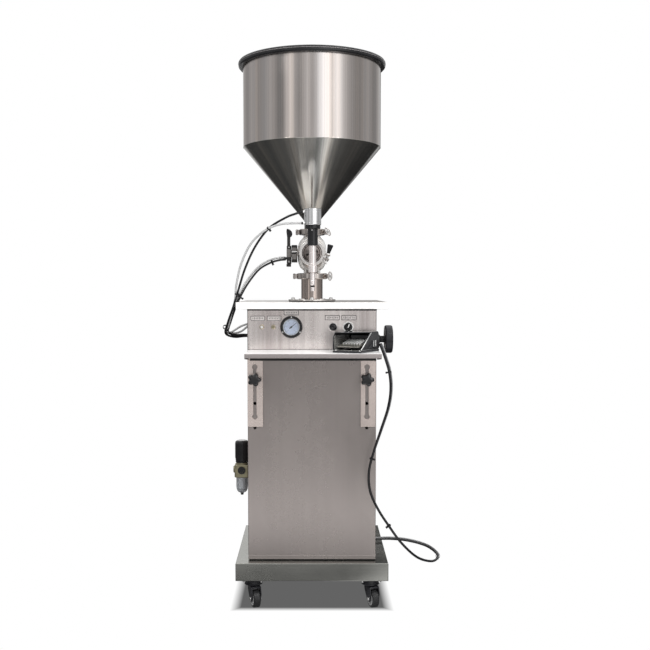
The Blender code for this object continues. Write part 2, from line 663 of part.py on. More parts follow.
def make_handwheel():
    """A dished black handwheel with a stepped hub."""
    left, right = HANDWHEEL_LEFT, HANDWHEEL_RIGHT
    bore = 6.4
    r = HANDWHEEL_RADIUS
    profile = [(bore, 184), (12.5, 184), (12.5, 196), (9.5, 198), (9.5, left + 2), (20, left + 3),
               (r - 4, left), (r, left + 4), (r, right - 4), (r - 4, right), (r - 10, right),
               (r - 12, right - 7), (12, right - 7), (bore, right - 1)]
    part("handwheel", turned([(radius, x - left) for radius, x in profile], axis="X", segments=24),
         "black_plastic", at=(left, SHAFT_Y, SHAFT_Z))


# ---------------------------------------------------------------- controls

def make_gauge():
    """The pressure gauge's case, with its dial set back, and its needle."""
    face = -181.1
    profile = [(0, -12), (25.5, -12), (25.5, -15.5), (GAUGE_RADIUS - 1.5, -15.5), (GAUGE_RADIUS, -14),
               (GAUGE_RADIUS, 0), (23, 0), (23, 22), (0, 22)]
    panel_gap = CABINET_FRONT - GAP - face
    shifted = [(radius, y + panel_gap) for radius, y in profile]
    part("gauge_body", turned(shifted, axis="Y", segments=28), "black_plastic",
         at=(GAUGE_X, face, CONTROL_Z))
    lean = math.radians(50)
    outline = [(1.0, 0.0), (0.6, 20), (-0.6, 20), (-1.0, 0), (-1.4, -9), (1.4, -9)]
    turned_outline = [(b * math.cos(lean) - a * math.sin(lean), b * math.sin(lean) + a * math.cos(lean))
                      for a, b in outline]
    dial = face + panel_gap - 12
    part("gauge_needle", prism(turned_outline, -1.6, -0.8, axis="Y"), "needle_paint",
         at=(GAUGE_X, dial, CONTROL_Z), add=[rod(2.4, -2.0, -0.6, axis="Y", segments=10)])


def make_switches():
    """The start button and the mode selector, each in its bezel."""
    face = CABINET_FRONT - GAP
    for name, x, rim in (("push_button_bezel", BUTTON_X, 12.5), ("selector_bezel", SELECTOR_X, 15)):
        profile = [(8.6, -4), (rim, -4), (rim, 0), (9.1, 0), (9.1, 22), (8.6, 22)]
        part(name, turned(profile, axis="Y", segments=20), "polished", at=(x, face, CONTROL_Z))
    button = [(0, 12), (7.5, 12), (7.5, -9), (10.5, -9), (10.5, -13), (8, -16), (0, -17)]
    part("push_button", turned(button, axis="Y", segments=18), "black_plastic",
         at=(BUTTON_X, face, CONTROL_Z))
    knob = [(0, 12), (7.5, 12), (7.5, -4.4), (10.5, -4.4), (10.5, -9), (9.5, -10), (0, -10)]
    part("selector_knob", turned(knob, axis="Y", segments=18), "black_plastic",
         at=(SELECTOR_X, face, CONTROL_Z), turn=(0, SELECTOR_REST_TURN, 0),
         add=[block((6, 8, 20), (0, -12, 0), bevel=0.8)])


def make_needle_valves():
    """The two small speed valves, each a hexagonal knob on a stem."""
    face = CABINET_FRONT - GAP
    for name, x in zip(("needle_valve_left", "needle_valve_right"), NEEDLE_VALVES_X):
        part(name, rod(4, -5, 10, axis="Y", segments=10), "brass", at=(x, face, CONTROL_Z),
             add=[rod(7.5, -7, -0.4, axis="Y", segments=6), rod(5, -13, -6, axis="Y", segments=12)])


# ---------------------------------------------------------------- platform and pedal

def make_platform():
    """The container platform, folded down at its front and braced by a gusset at each end."""
    depth = PLATFORM_BACK - PLATFORM_FRONT
    y = (PLATFORM_BACK + PLATFORM_FRONT) / 2
    low = PLATFORM_TOP - PLATFORM_LIP
    pocket = block((CABINET_WIDTH - 2 * SHEET, depth - SHEET + 10, PLATFORM_LIP),
                   (PLATFORM_X, y + SHEET / 2 + 5, low + PLATFORM_LIP / 2 - SHEET))
    gusset = [(PLATFORM_FRONT + 6, low + 2), (PLATFORM_BACK, low + 2), (PLATFORM_BACK, low - 16),
              (PLATFORM_FRONT + 6, low - 3)]
    left, right = PLATFORM_X - CABINET_WIDTH / 2, PLATFORM_X + CABINET_WIDTH / 2
    gussets = [prism(gusset, right - SHEET, right, axis="X"), prism(gusset, left, left + SHEET, axis="X")]
    part("platform_tray",
         block((CABINET_WIDTH, depth, PLATFORM_LIP), (PLATFORM_X, y, low + PLATFORM_LIP / 2), bevel=1.0),
         "polished", add=gussets, cut=[pocket])
    make_slotted_bracket("left_bracket", -181, -138, LEFT_KNOB_X)
    make_slotted_bracket("right_bracket", 137, 179, RIGHT_KNOB_X)


def make_slotted_bracket(name, left, right, slot_x):
    """A flat strip whose slot slides on the star knob's stud, with a round eye at each end."""
    top = PLATFORM_TOP - SHEET - 1
    front = BRACKET_FACE
    back = front + BRACKET_THICK
    width = right - left
    middle = ((left + right) / 2, (front + back) / 2, (top + BRACKET_BOTTOM) / 2)
    slot = block((SLOT_WIDTH, 20, SLOT_HIGH - SLOT_LOW), (slot_x, front, (SLOT_HIGH + SLOT_LOW) / 2))
    eyes = [rod(7.75, front - 9, back + 9, (slot_x, 0, z), "Y", 14) for z in (SLOT_LOW, SLOT_HIGH)]
    strip = block((width, BRACKET_THICK, top - BRACKET_BOTTOM), middle, bevel=0.5)
    part(name, strip, "polished", cut=[slot] + eyes)


def lobed(radius, depth, lobes, count):
    """The outline of a knob with rounded lobes."""
    points = []
    for i in range(count):
        angle = 2 * math.pi * i / count
        r = radius - depth * (0.5 - 0.5 * math.cos(lobes * angle)) ** 1.5
        points.append((r * math.cos(angle), r * math.sin(angle)))
    return points


def make_star_knobs():
    """Five-lobed clamping knobs whose studs pass through the slots into the cabinet."""
    for name, x in (("left_star_knob", LEFT_KNOB_X), ("right_star_knob", RIGHT_KNOB_X)):
        levels = ((14.0, -24.5), (19.0, -22.5), (19.5, -18.0), (19.5, -11.5), (18.0, -10.0), (10.0, -8.5),
                  (8.1, -0.6))
        rings = [[(a, y, b) for a, b in lobed(radius, 0.26 * radius, 5, 30)] for radius, y in levels]
        part(name, stacked(rings), "black_plastic", at=(x, BRACKET_FACE, KNOB_Z),
             add=[rod(STUD_RADIUS, -5, 18, axis="Y", segments=10)])


def make_pedal():
    """The foot valve: a base, a hood open at the front and cut back on its right, and a sprung treadle."""
    at = (*PEDAL_CENTRE, PLATFORM_TOP + 0.4)
    turn = (0, 0, PEDAL_TURN)
    half = PEDAL_LENGTH / 2
    side = PEDAL_WIDTH / 2
    height = PEDAL_HEIGHT
    part("pedal_base", block((PEDAL_WIDTH, PEDAL_LENGTH, 5), (0, 0, 2.5), bevel=0.8), "dark_metal", at=at,
         turn=turn, add=[block((60, 26, 40), (0, half - 20, 24), bevel=2)])
    outer = [(1 - half, 5.3), (half - 1, 5.3), (half, 38), (half - 9, height), (15 - half, height),
             (4 - half, height - 12)]
    inner = [(-half - 12, 2), (half - 3.4, 2), (half - 2.4, 37.2), (half - 10, height - 2.2),
             (-half - 12, height - 2.2)]
    # The cut-back wedge grows from the left front corner to the hood's right side.
    big_end = [(side + 5, -half - 9, -4), (side + 5, 82 - half, height + 6),
               (side + 5, -half - 9, height + 6)]
    small_end = [(9 - side, -half - 3, height - 6), (9 - side, 14 - half, height + 6),
                 (9 - side, -half - 3, height + 6)]
    part("pedal_hood", prism(outer, -side, side, axis="X"), "dark_metal", at=at, turn=turn,
         cut=[prism(inner, 2 - side, side - 2, axis="X"), stacked([big_end, small_end])])
    hinge_y, hinge_z = PEDAL_HINGE
    spin = math.radians(PEDAL_TURN)
    pivot = (at[0] - math.sin(spin) * hinge_y, at[1] + math.cos(spin) * hinge_y, at[2] + hinge_z)
    tread = [(-74, -16.5), (-74, -13), (-2, 3), (4, 3), (4, -3), (-1, -3)]
    ribs = [block((50, 2.2, 3), (0, y, 3.4 + y * 0.222), bevel=0.5) for y in range(-62, -6, 8)]
    part("pedal_treadle", prism(tread, -32, 32, axis="X"), "dark_metal", at=pivot, turn=turn, add=ribs)


# ---------------------------------------------------------------- air preparation and hoses

def make_filter():
    """The filter and regulator: a brass body on a nipple from the cabinet, a bowl below, a knob above."""
    at = (FILTER_X, FILTER_Y, 0)
    middle = (FILTER_X, FILTER_Y, FILTER_PORT_Z)
    part("regulator_body", block((42, 40, 43), middle, bevel=3), "brass",
         add=[rod(17, 394, 399.4, at, segments=18),
              rod(7, -190, -181.4, (0, FILTER_Y, FILTER_PORT_Z), "X", 10),
              rod(11, -23, -18, middle, "Y", 14)])
    part("regulator_knob", turned([(0, 399.8), (19, 399.8), (20, 402), (20, 456), (18, 459), (0, 460)],
                                  segments=20), "black_plastic", at=at)
    bowl = [(0, 298), (4, 298), (4, 303), (11, 306), (16.5, 316), (17, 351.6), (15, 351.6), (14.5, 317),
            (10, 308.5), (0, 306.5)]
    part("filter_bowl", turned(bowl, at, segments=18), "clear")


def make_hoses():
    """The nozzle's hoses with the actuator's branch, and the pedal's hose round to the cabinet."""
    lower_entry, upper_entry = HOSE_ENTRY_HEIGHTS
    trunk = [(-27, -250, 1110), (-60, -243, 1100), (-105, -232, 1073), (-150, -208, 1030), (-180, -186, 975),
             (-205, -163, 905), (-222, -142, 850), (-244, -118, 800), (-240, -90, 768),
             (-205, -66, lower_entry), (-183, HOSE_ENTRY_Y, lower_entry)]
    branch = [(-76, -90, 988), (-110, -100, 980), (-145, -116, 962), (-176, -136, 925), (-200, -156, 890),
              (-214, -152, 872)]
    stub = [(-31, -250, 1079), (-70, -243, 1080), (-104, -233, 1074), (-116, -226, 1065)]
    upper_end = [(-236, -84, 766), (-214, -66, 795), (-183, HOSE_ENTRY_Y, upper_entry)]
    part("hose_bundle", hose(trunk, 6.0), "rubber",
         add=[hose(branch, 4.5), hose(stub, 3.0), hose(upper_end, 4.0)])
    pedal = [(189, -240, 750), (197, -246, 722), (211, -250, 675), (215, -250, 626), (208, -247, 575),
             (190, -239, 515), (170, -232, 450), (158, -228, 395), (162, -224, 340), (184, -220, 289),
             (215, -214, 240), (252, -204, 188), (300, -180, 140), (352, -110, 108), (379, -25, 100),
             (355, 28, 112), (300, 32, 128), (240, 20, 138), (184, 10, 139)]
    part("pedal_hose", hose(pedal, 5.0), "rubber")


MATERIALS, MACHINE = start()
for caster_name, caster_x, caster_y in (("front_left_caster", -1, -1), ("front_right_caster", 1, -1),
                                        ("rear_left_caster", -1, 1), ("rear_right_caster", 1, 1)):
    make_caster(caster_name, caster_x, caster_y)
make_base()
make_cabinet()
make_rear_door()
make_table()
make_panel()
make_cylinder()
make_valve()
make_rotor()
make_actuator()
make_hopper()
make_clamps()
make_outlet()
make_nozzle()
make_piston_drive()
make_stroke_adjuster()
make_handwheel()
make_gauge()
make_switches()
make_needle_valves()
make_platform()
make_star_knobs()
make_pedal()
make_filter()
make_hoses()
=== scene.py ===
"""Looks of the piston liquid filler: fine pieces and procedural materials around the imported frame.

Shapes are made in millimetres in the machine's own axes: X to the right, -Y to the operator, Z up,
with the origin on the floor under the middle of the base. Places come from the boxes of the frame's
nodes, and each piece is turned into metres as it is made.
"""

import math

import bmesh
import bpy
from mathutils import Matrix, Vector


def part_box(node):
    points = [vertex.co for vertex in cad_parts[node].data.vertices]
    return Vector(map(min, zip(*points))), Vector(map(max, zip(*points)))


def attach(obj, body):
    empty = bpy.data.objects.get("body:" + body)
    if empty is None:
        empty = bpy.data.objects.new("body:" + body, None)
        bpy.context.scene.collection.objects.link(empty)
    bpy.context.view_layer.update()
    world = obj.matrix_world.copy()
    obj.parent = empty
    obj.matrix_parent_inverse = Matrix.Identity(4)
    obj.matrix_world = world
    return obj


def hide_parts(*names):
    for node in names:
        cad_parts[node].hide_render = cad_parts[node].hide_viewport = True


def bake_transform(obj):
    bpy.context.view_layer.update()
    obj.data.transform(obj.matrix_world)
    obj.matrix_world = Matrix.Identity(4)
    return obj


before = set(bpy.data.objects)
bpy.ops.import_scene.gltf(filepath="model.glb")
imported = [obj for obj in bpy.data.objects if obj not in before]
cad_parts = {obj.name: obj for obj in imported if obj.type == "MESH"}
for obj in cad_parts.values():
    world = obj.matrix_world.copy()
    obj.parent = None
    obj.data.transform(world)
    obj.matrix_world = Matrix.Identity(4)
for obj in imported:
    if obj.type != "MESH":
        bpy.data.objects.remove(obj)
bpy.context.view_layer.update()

MM = 0.001
BASE_LOW, BASE_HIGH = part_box("base_frame")
ORIGIN = Vector(((BASE_LOW.x + BASE_HIGH.x) / 2, (BASE_LOW.y + BASE_HIGH.y) / 2, 0.0))

CASTER_TURN = 18.0
CASTER_TRAIL = 22.0
KNOB_X = 157.5
STUD_HEIGHT = 649.0
KNOB_SHIFT = -3.0
STUD_PITCH = 69.0
SLOT_FOOT = 28.7
SLOT_HEAD = 169.0
HOSE_ENTRY_Y = -60.0
HOSE_ENTRY_HEIGHTS = (764.0, 802.0)
GAUGE_READING = 50.0
DIAL_NUMBERS = ("0", "2", "4", "6", "8", "10")
SELECTOR_REST = 20.0

# The clamp on the outlet leans about the outlet's axis, in degrees.
FRONT_CLAMP_LEAN = 15
PEDAL_CENTRE = (120.2, -261.8)
PEDAL_TURN = -27.0
TREADLE_HINGE = (20.0, 30.0)


class Box:
    """A node's box in millimetres, in the machine's own axes."""

    def __init__(self, node):
        low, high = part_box(node)
        self.left, self.front, self.bottom = (low - ORIGIN) / MM
        self.right, self.back, self.top = (high - ORIGIN) / MM
        self.x = (self.left + self.right) / 2
        self.y = (self.front + self.back) / 2
        self.z = (self.bottom + self.top) / 2
        self.width = self.right - self.left
        self.depth = self.back - self.front
        self.height = self.top - self.bottom


# ---------------------------------------------------------------- outlines

def circle(radius, count=32, centre=(0, 0), phase=0.0):
    angles = [2 * math.pi * i / count + phase for i in range(count)]
    return [(centre[0] + radius * math.cos(a), centre[1] + radius * math.sin(a)) for a in angles]


def oval(half_a, half_b, lean=0.0, count=40):
    """An ellipse whose first axis leans by an angle in degrees."""
    tilt = math.radians(lean)
    return [(math.cos(tilt) * a * half_a - math.sin(tilt) * b * half_b,
             math.sin(tilt) * a * half_a + math.cos(tilt) * b * half_b) for a, b in circle(1, count)]


def rectangle(left, right, low, high):
    return [(left, low), (right, low), (right, high), (left, high)]


def fillet(points, radius, steps=3, closed=True):
    """Rounds the corners of an outline or of an open line."""
    rounded = []
    for i, point in enumerate(points):
        if not closed and i in (0, len(points) - 1):
            rounded.append(tuple(point))
            continue
        here = Vector(point)
        back = Vector(points[i - 1]) - here
        ahead = Vector(points[(i + 1) % len(points)]) - here
        corner = back.angle(ahead)
        if corner > math.radians(176):
            rounded.append(tuple(point))
            continue
        reach = min(radius / math.tan(corner / 2), 0.45 * back.length, 0.45 * ahead.length)
        start = here + back.normalized() * reach
        end = here + ahead.normalized() * reach
        for k in range(steps + 1):
            t = k / steps
            rounded.append(tuple((1 - t) ** 2 * start + 2 * t * (1 - t) * here + t * t * end))
    return rounded


def oriented(outline, anticlockwise):
    area = sum(a[0] * b[1] - b[0] * a[1] for a, b in zip(outline, outline[1:] + outline[:1]))
    return outline if (area > 0) == anticlockwise else outline[::-1]


def shrunk(outline, amount):
    """Moves an anticlockwise outline inwards, or a clockwise one outwards."""
    if not amount:
        return outline
    moved = []
    for i, point in enumerate(outline):
        here = Vector(point)
        back = (here - Vector(outline[i - 1])).normalized()
        ahead = (Vector(outline[(i + 1) % len(outline)]) - here).normalized()
        side = Vector((-back.y - ahead.y, back.x + ahead.x))
        scale = side.length_squared / 2
        moved.append(tuple(here + side * (amount / max(scale, 0.3))))
    return moved


# ---------------------------------------------------------------- solids

AXES = {
    "X": lambda a, b, c: (c, a, b),
    "Y": lambda a, b, c: (b, c, a),
    "Z": lambda a, b, c: (a, b, c),
}


def skin(rings, loop=False):
    """Skins rings of points of equal count. A ring of one point is a pole; open ends are closed."""
    shape = bmesh.new()
    made = [[shape.verts.new(point) for point in ring] for ring in rings]
    pairs = list(zip(made, made[1:]))
    if loop:
        pairs.append((made[-1], made[0]))
    for low, high in pairs:
        count = max(len(low), len(high))
        for i in range(count):
            j = (i + 1) % count
            corners = [low[i % len(low)], low[j % len(low)], high[j % len(high)], high[i % len(high)]]
            corners = list(dict.fromkeys(corners))
            if len(corners) > 2:
                shape.faces.new(corners)
    if not loop:
        for end in (made[0], made[-1]):
            if len(end) > 2:
                shape.faces.new(end)
    return shape


def lathe(profile, centre=(0, 0, 0), axis="Z", segments=48, edge=0.0):
    """Turns (radius, height) points about an axis. A profile that starts on the axis ends on it,
    and any other profile closes on itself. Its corners are rounded by edge."""
    solid = profile[0][0] == 0
    if edge:
        profile = fillet(profile, edge, closed=not solid)
    place = AXES[axis]
    rings = []
    for radius, height in profile:
        turn = circle(radius, segments) if radius > 1e-6 else [(0, 0)]
        rings.append([Vector(place(a, b, height)) + Vector(centre) for a, b in turn])
    return skin(rings, loop=not solid)


def slab(outline, low, high, axis="Z", centre=(0, 0, 0), edge=0.5, holes=()):
    """An outline, with holes in it, extruded along an axis, its edges rounded by edge."""
    shape = bmesh.new()
    place = AXES[axis]
    levels = []
    for k in range(4):
        angle = math.radians(30 * k)
        levels.append((edge * (1 - math.sin(angle)), low + edge * (1 - math.cos(angle))))
    levels += [(inset, low + high - height) for inset, height in reversed(levels)]
    if not edge:
        levels = [(0, low), (0, high)]
    ends = ([], [])
    for loop in [oriented(outline, True)] + [oriented(hole, False) for hole in holes]:
        rings = []
        for inset, height in levels:
            points = [Vector(place(a, b, height)) + Vector(centre) for a, b in shrunk(loop, inset)]
            rings.append([shape.verts.new(point) for point in points])
        for below, above in zip(rings, rings[1:]):
            for i in range(len(loop)):
                j = (i + 1) % len(loop)
                shape.faces.new((below[i], below[j], above[j], above[i]))
        for end, ring in zip(ends, (rings[0], rings[-1])):
            end.extend(shape.edges.get((ring[i - 1], ring[i])) for i in range(len(ring)))
    for end in ends:
        bmesh.ops.triangle_fill(shape, use_beauty=True, use_dissolve=False, edges=end)
    return shape


def block(left, right, front, back, low, high, corner=1.0, edge=0.6, axis="Z"):
    """A box with rounded edges; the corners that run along its axis are rounded by corner."""
    spans = {"X": ((front, back), (low, high), (left, right)),
             "Y": ((low, high), (left, right), (front, back)),
             "Z": ((left, right), (front, back), (low, high))}
    a, b, c = spans[axis]
    return slab(fillet(rectangle(*a, *b), corner), *c, axis=axis, edge=edge)


def spline(points, steps):
    """A Catmull-Rom curve through the given points."""
    knots = [Vector(p) for p in points]
    knots = [2 * knots[0] - knots[1]] + knots + [2 * knots[-1] - knots[-2]]
    curve = []
    for a, b, c, d in zip(knots, knots[1:], knots[2:], knots[3:]):
        for step in range(steps):
            t = step / steps
            curve.append(0.5 * (2 * b + (c - a) * t + (2 * a - 5 * b + 4 * c - d) * t * t
                                + (3 * b - a - 3 * c + d) * t ** 3))
    curve.append(knots[-2])
    return curve


def tube(points, radius, steps=8, sides=14):
    """A round hose or bent bar along a curve, its section carried along without twist."""
    path = spline(points, steps)
    side = (path[1] - path[0]).orthogonal().normalized()
    rings = []
    for i, point in enumerate(path):
        ahead = (path[min(i + 1, len(path) - 1)] - path[max(i - 1, 0)]).normalized()
        side = (side - ahead * side.dot(ahead)).normalized()
        up = ahead.cross(side)
        rings.append([point + a * side + b * up for a, b in circle(radius, sides)])
    return skin(rings)


def wrap(path, box, corner, bottom=0.0, closed=False):
    """Carries a section of (inset, height) points round a box with rounded upright corners."""
    rings = []
    for inset, height in path:
        outline = rectangle(box.left + inset, box.right - inset, box.front + inset, box.back - inset)
        radius = max(corner - inset, 0.3)
        rings.append([(x, y, height + bottom) for x, y in fillet(outline, radius, steps=4)])
    return skin(rings, loop=closed)


def moved(shape, at=(0, 0, 0), turn=(0, 0, 0)):
    """Turns a shape about its own origin, angles in degrees, and moves it to a place."""
    spin = Matrix.Identity(4)
    for angle, axis in zip(turn, "XYZ"):
        spin = Matrix.Rotation(math.radians(angle), 4, axis) @ spin
    bmesh.ops.transform(shape, matrix=Matrix.Translation(Vector(at)) @ spin, verts=shape.verts)
    return shape


def hex_bolt(at, axis="Z", size=5.5, height=5.0, up=1):
    """A washer, a hexagon head and a domed bolt end."""
    levels = [0, 1.2, 1.2 + height, height + 2.2]
    washer = slab(circle(size * 1.25, 28), *sorted((0, up * 1.2)), axis=axis, centre=at, edge=0.3)
    head = slab(circle(size, 6), *sorted((up * 1.2, up * levels[2])), axis=axis, centre=at, edge=0.5)
    stud = lathe([(0, up * levels[1]), (size * 0.55, up * levels[1]), (size * 0.55, up * levels[3]),
                  (0, up * (levels[3] + 0.8))], at, axis, 18, edge=0.4)
    return [washer, head, stud]


def socket_screw(at, axis, size, up):
    """A cylindrical head with a hexagon recess in its end."""
    socket = slab(circle(size, 24), *sorted((0, up * size * 1.1)), axis=axis, centre=at, edge=0.3,
                  holes=[circle(size * 0.5, 6)])
    floor = slab(circle(size * 0.55, 12), *sorted((0, up * size * 0.5)), axis=axis, centre=at, edge=0)
    return [socket, floor]


# ---------------------------------------------------------------- objects

def carved(obj, cutters):
    """Cuts shapes out of an object and applies the result."""
    helper = bpy.data.objects.new("cutters", mesh_of("cutters", cutters))
    bpy.context.scene.collection.objects.link(helper)
    modifier = obj.modifiers.new("cut", "BOOLEAN")
    modifier.operation = "DIFFERENCE"
    modifier.solver = "EXACT"
    modifier.object = helper
    depsgraph = bpy.context.evaluated_depsgraph_get()
    cut = bpy.data.meshes.new_from_object(obj.evaluated_get(depsgraph))
    obj.modifiers.clear()
    obj.data = cut
    bpy.data.objects.remove(helper)
    return obj


def mesh_of(name, shapes):
    """One mesh in metres from shapes in millimetres."""
    whole = bmesh.new()
    for shape in shapes:
        bmesh.ops.recalc_face_normals(shape, faces=shape.faces)
        single = bpy.data.meshes.new("single")
        shape.to_mesh(single)
        shape.free()
        whole.from_mesh(single)
        bpy.data.meshes.remove(single)
    for vert in whole.verts:
        vert.co = vert.co * MM + ORIGIN
    mesh = bpy.data.meshes.new(name)
    whole.to_mesh(mesh)
    whole.free()
    return mesh


def piece(name, body, finish, shapes, replaces=(), cut=(), sharp=38):
    """An object of the machine: shapes in one finish, riding on a body of the frame."""
    obj = bpy.data.objects.new(name, mesh_of(name, shapes))
    bpy.context.scene.collection.objects.link(obj)
    if cut:
        carved(obj, cut)
    obj.data.materials.clear()
    obj.data.materials.append(FINISHES[finish][0])
    obj.data.shade_smooth()
    obj.data.set_sharp_from_angle(angle=math.radians(sharp))
    normals = obj.modifiers.new("normals", "WEIGHTED_NORMAL")
    normals.keep_sharp = True
    if body:
        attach(obj, body)
    if replaces:
        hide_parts(*replaces)
    return obj


# ---------------------------------------------------------------- materials

def node(tree, kind, options=None, **inputs):
    """Adds a shader node. An input that is a socket is linked, and any other is set; an input
    called in0, in1 and so on is found by its number."""
    made = tree.nodes.new("ShaderNode" + kind)
    for key, value in (options or {}).items():
        setattr(made, key, value)
    for key, value in inputs.items():
        socket = made.inputs[int(key[2:])] if key[:2] == "in" else made.inputs[key.replace("_", " ")]
        if isinstance(value, bpy.types.NodeSocket):
            tree.links.new(value, socket)
        else:
            socket.default_value = value
    return made


def maths(tree, operation, *values):
    options = {"operation": operation}
    return node(tree, "Math", options, **{f"in{i}": value for i, value in enumerate(values)}).outputs[0]


def ramp(tree, factor, stops, interpolation="LINEAR"):
    """A colour ramp from (position, grey or colour) stops."""
    made = node(tree, "ValToRGB", in0=factor)
    made.color_ramp.interpolation = interpolation
    elements = made.color_ramp.elements
    while len(elements) < len(stops):
        elements.new(0.5)
    for element, (position, colour) in zip(elements, stops):
        element.position = position
        element.color = (colour,) * 3 + (1,) if isinstance(colour, (int, float)) else (*colour, 1)
    return made.outputs["Color"]


def spread(tree, value, low, high, to_low, to_high):
    """Maps a value from one range to another, clamped."""
    return node(tree, "MapRange", None, in0=value, in1=low, in2=high, in3=to_low, in4=to_high).outputs[0]


def mixed(tree, factor, colour_a, colour_b, blend="MIX"):
    made = node(tree, "Mix", {"data_type": "RGBA", "blend_type": blend}, in0=factor)
    for socket, colour in ((made.inputs[6], colour_a), (made.inputs[7], colour_b)):
        if isinstance(colour, bpy.types.NodeSocket):
            tree.links.new(colour, socket)
        else:
            socket.default_value = (*colour, 1)
    return made.outputs[2]


def noise(tree, vector, scale, detail=3.0, stretch=(1, 1, 1), offset=(0, 0, 0)):
    mapping = node(tree, "Mapping", None, Vector=vector, Scale=stretch, Location=offset).outputs[0]
    return node(tree, "TexNoise", None, Vector=mapping, Scale=scale, Detail=detail).outputs[0]


def new_material(name):
    material = bpy.data.materials.new(name)
    material.use_nodes = True
    tree = material.node_tree
    shader = tree.nodes["Principled BSDF"]
    place = node(tree, "TexCoord").outputs["Object"]
    return material, tree, shader, place


def link(tree, shader, **inputs):
    for key, value in inputs.items():
        socket = shader.inputs[key.replace("_", " ")]
        if isinstance(value, bpy.types.NodeSocket):
            tree.links.new(value, socket)
        else:
            socket.default_value = value


def bump(tree, height, strength, distance):
    return node(tree, "Bump", None, Height=height, Strength=strength, Distance=distance).outputs[0]


def scaled(colour, factor):
    return tuple(min(channel * factor, 1.0) for channel in colour)


GRAIN_ALONG = {"X": (0.008, 1, 1), "Y": (1, 0.008, 1), "Z": (1, 1, 0.008)}
WAVES_ALONG = {"X": (0.5, 1, 1), "Y": (1, 0.5, 1), "Z": (1, 1, 0.35)}


def sheet_metal(name, colour, roughness, along="Z", grain=0.10, smudge=0.14, waves=1.0, metallic=1.0,
                contrast=0.14):
    """Brushed sheet: fine grain along one axis, slow cloudy smudges, slightly uneven flatness."""
    material, tree, shader, place = new_material(name)
    lines = noise(tree, place, 300.0, 1.0, GRAIN_ALONG[along])
    bands = noise(tree, place, 60.0, 1.0, GRAIN_ALONG[along])
    clouds = noise(tree, place, 6.0, 2.0, WAVES_ALONG[along], (3.1, 0.4, 1.7))
    spots = noise(tree, place, 45.0, 3.0)
    tone = maths(tree, "ADD", maths(tree, "MULTIPLY", lines, grain * 0.4), maths(tree, "MULTIPLY", clouds, smudge))
    tone = maths(tree, "ADD", tone, maths(tree, "MULTIPLY", bands, grain))
    middle = (grain * 1.4 + smudge) / 2
    light = spread(tree, tone, middle - 0.10, middle + 0.10, 0.0, 1.0)
    base = mixed(tree, light, scaled(colour, 1.0 - contrast), scaled(colour, 1.0 + contrast * 0.7))
    rough = maths(tree, "ADD", spread(tree, clouds, 0.3, 0.7, roughness - 0.03, roughness + 0.04),
                  spread(tree, spots, 0.35, 0.7, -0.01, 0.02))
    uneven = noise(tree, place, 5.0, 1.0, WAVES_ALONG[along], (1.3, 2.2, 0.7))
    height = maths(tree, "ADD", maths(tree, "MULTIPLY", lines, 0.003), maths(tree, "MULTIPLY", uneven, waves))
    link(tree, shader, Base_Color=base, Metallic=metallic, Roughness=rough,
         Normal=bump(tree, height, 1.0, 0.002))
    return material


def round_steel(name, colour, roughness, centre, bright=1.0, painted_streaks=0.25):
    """Steel brushed round an upright axis, so that highlights run up and down, with faint painted reflection
    streaks, lighter, darker and warmer bands of colour that depend on the angle about that axis only."""
    material, tree, shader, place = new_material(name)
    shift = node(tree, "VectorMath", {"operation": "SUBTRACT"}, in0=place, in1=centre).outputs[0]
    parts = node(tree, "SeparateXYZ", None, in0=shift)
    angle = maths(tree, "ARCTAN2", parts.outputs[0], maths(tree, "MULTIPLY", parts.outputs[1], -1.0))
    turn = node(tree, "CombineXYZ", None, in0=angle, in1=0.0, in2=0.0).outputs[0]
    wrapped = node(tree, "CombineXYZ", None, in0=maths(tree, "MULTIPLY", angle, 0.15), in1=0.0,
                   in2=parts.outputs[2]).outputs[0]
    bands = noise(tree, turn, 5.0, 5.0, offset=(2.0, 0.0, 0.0))
    fine = noise(tree, turn, 38.0, 2.0)
    lines = noise(tree, wrapped, 700.0, 2.0)
    clouds = noise(tree, place, 9.0, 3.0)
    # Painted reflection streaks: bands of colour by angle about the axis.
    tone = maths(tree, "ADD", maths(tree, "MULTIPLY", bands, 0.7), maths(tree, "MULTIPLY", fine, 0.3))
    light = spread(tree, tone, 0.36, 0.64, 1.0 - painted_streaks, 1.0 + painted_streaks * 0.4)
    warm = mixed(tree, spread(tree, bands, 0.35, 0.65, 0.0, 1.0), scaled(colour, 1.0),
                 (colour[0] * 1.05, colour[1] * 0.98, colour[2] * 0.92))
    base = mixed(tree, 1.0, warm, node(tree, "CombineXYZ", None, in0=light, in1=light, in2=light).outputs[0],
                 "MULTIPLY")
    rough = maths(tree, "ADD", spread(tree, clouds, 0.3, 0.7, roughness - 0.03, roughness + 0.04),
                  spread(tree, lines, 0.3, 0.7, -0.02, 0.03))
    tangent = node(tree, "Tangent", {"direction_type": "RADIAL", "axis": "Z"}).outputs[0]
    link(tree, shader, Base_Color=base, Metallic=bright, Roughness=rough, Anisotropic=0.85,
         Anisotropic_Rotation=0.25, Tangent=tangent, Normal=bump(tree, lines, 0.25, 0.00003))
    return material


def plain(name, colour, roughness, metallic=0.0, vary=0.12, fine=400.0, depth=0.00005, coat=0.0):
    """Moulded, cast, painted or turned surfaces: slow colour change, fine grain and roughness."""
    material, tree, shader, place = new_material(name)
    slow = noise(tree, place, 35.0, 4.0)
    grain = noise(tree, place, fine, 3.0)
    base = mixed(tree, spread(tree, slow, 0.3, 0.7, 0.0, 1.0), scaled(colour, 1 - vary), scaled(colour, 1 + vary))
    rough = maths(tree, "ADD", spread(tree, slow, 0.3, 0.7, roughness * 0.85, roughness * 1.15),
                  spread(tree, grain, 0.3, 0.7, -0.02, 0.03))
    link(tree, shader, Base_Color=base, Metallic=metallic, Roughness=rough, Coat_Weight=coat,
         Coat_Roughness=0.08, Normal=bump(tree, grain, 0.5, depth))
    return material


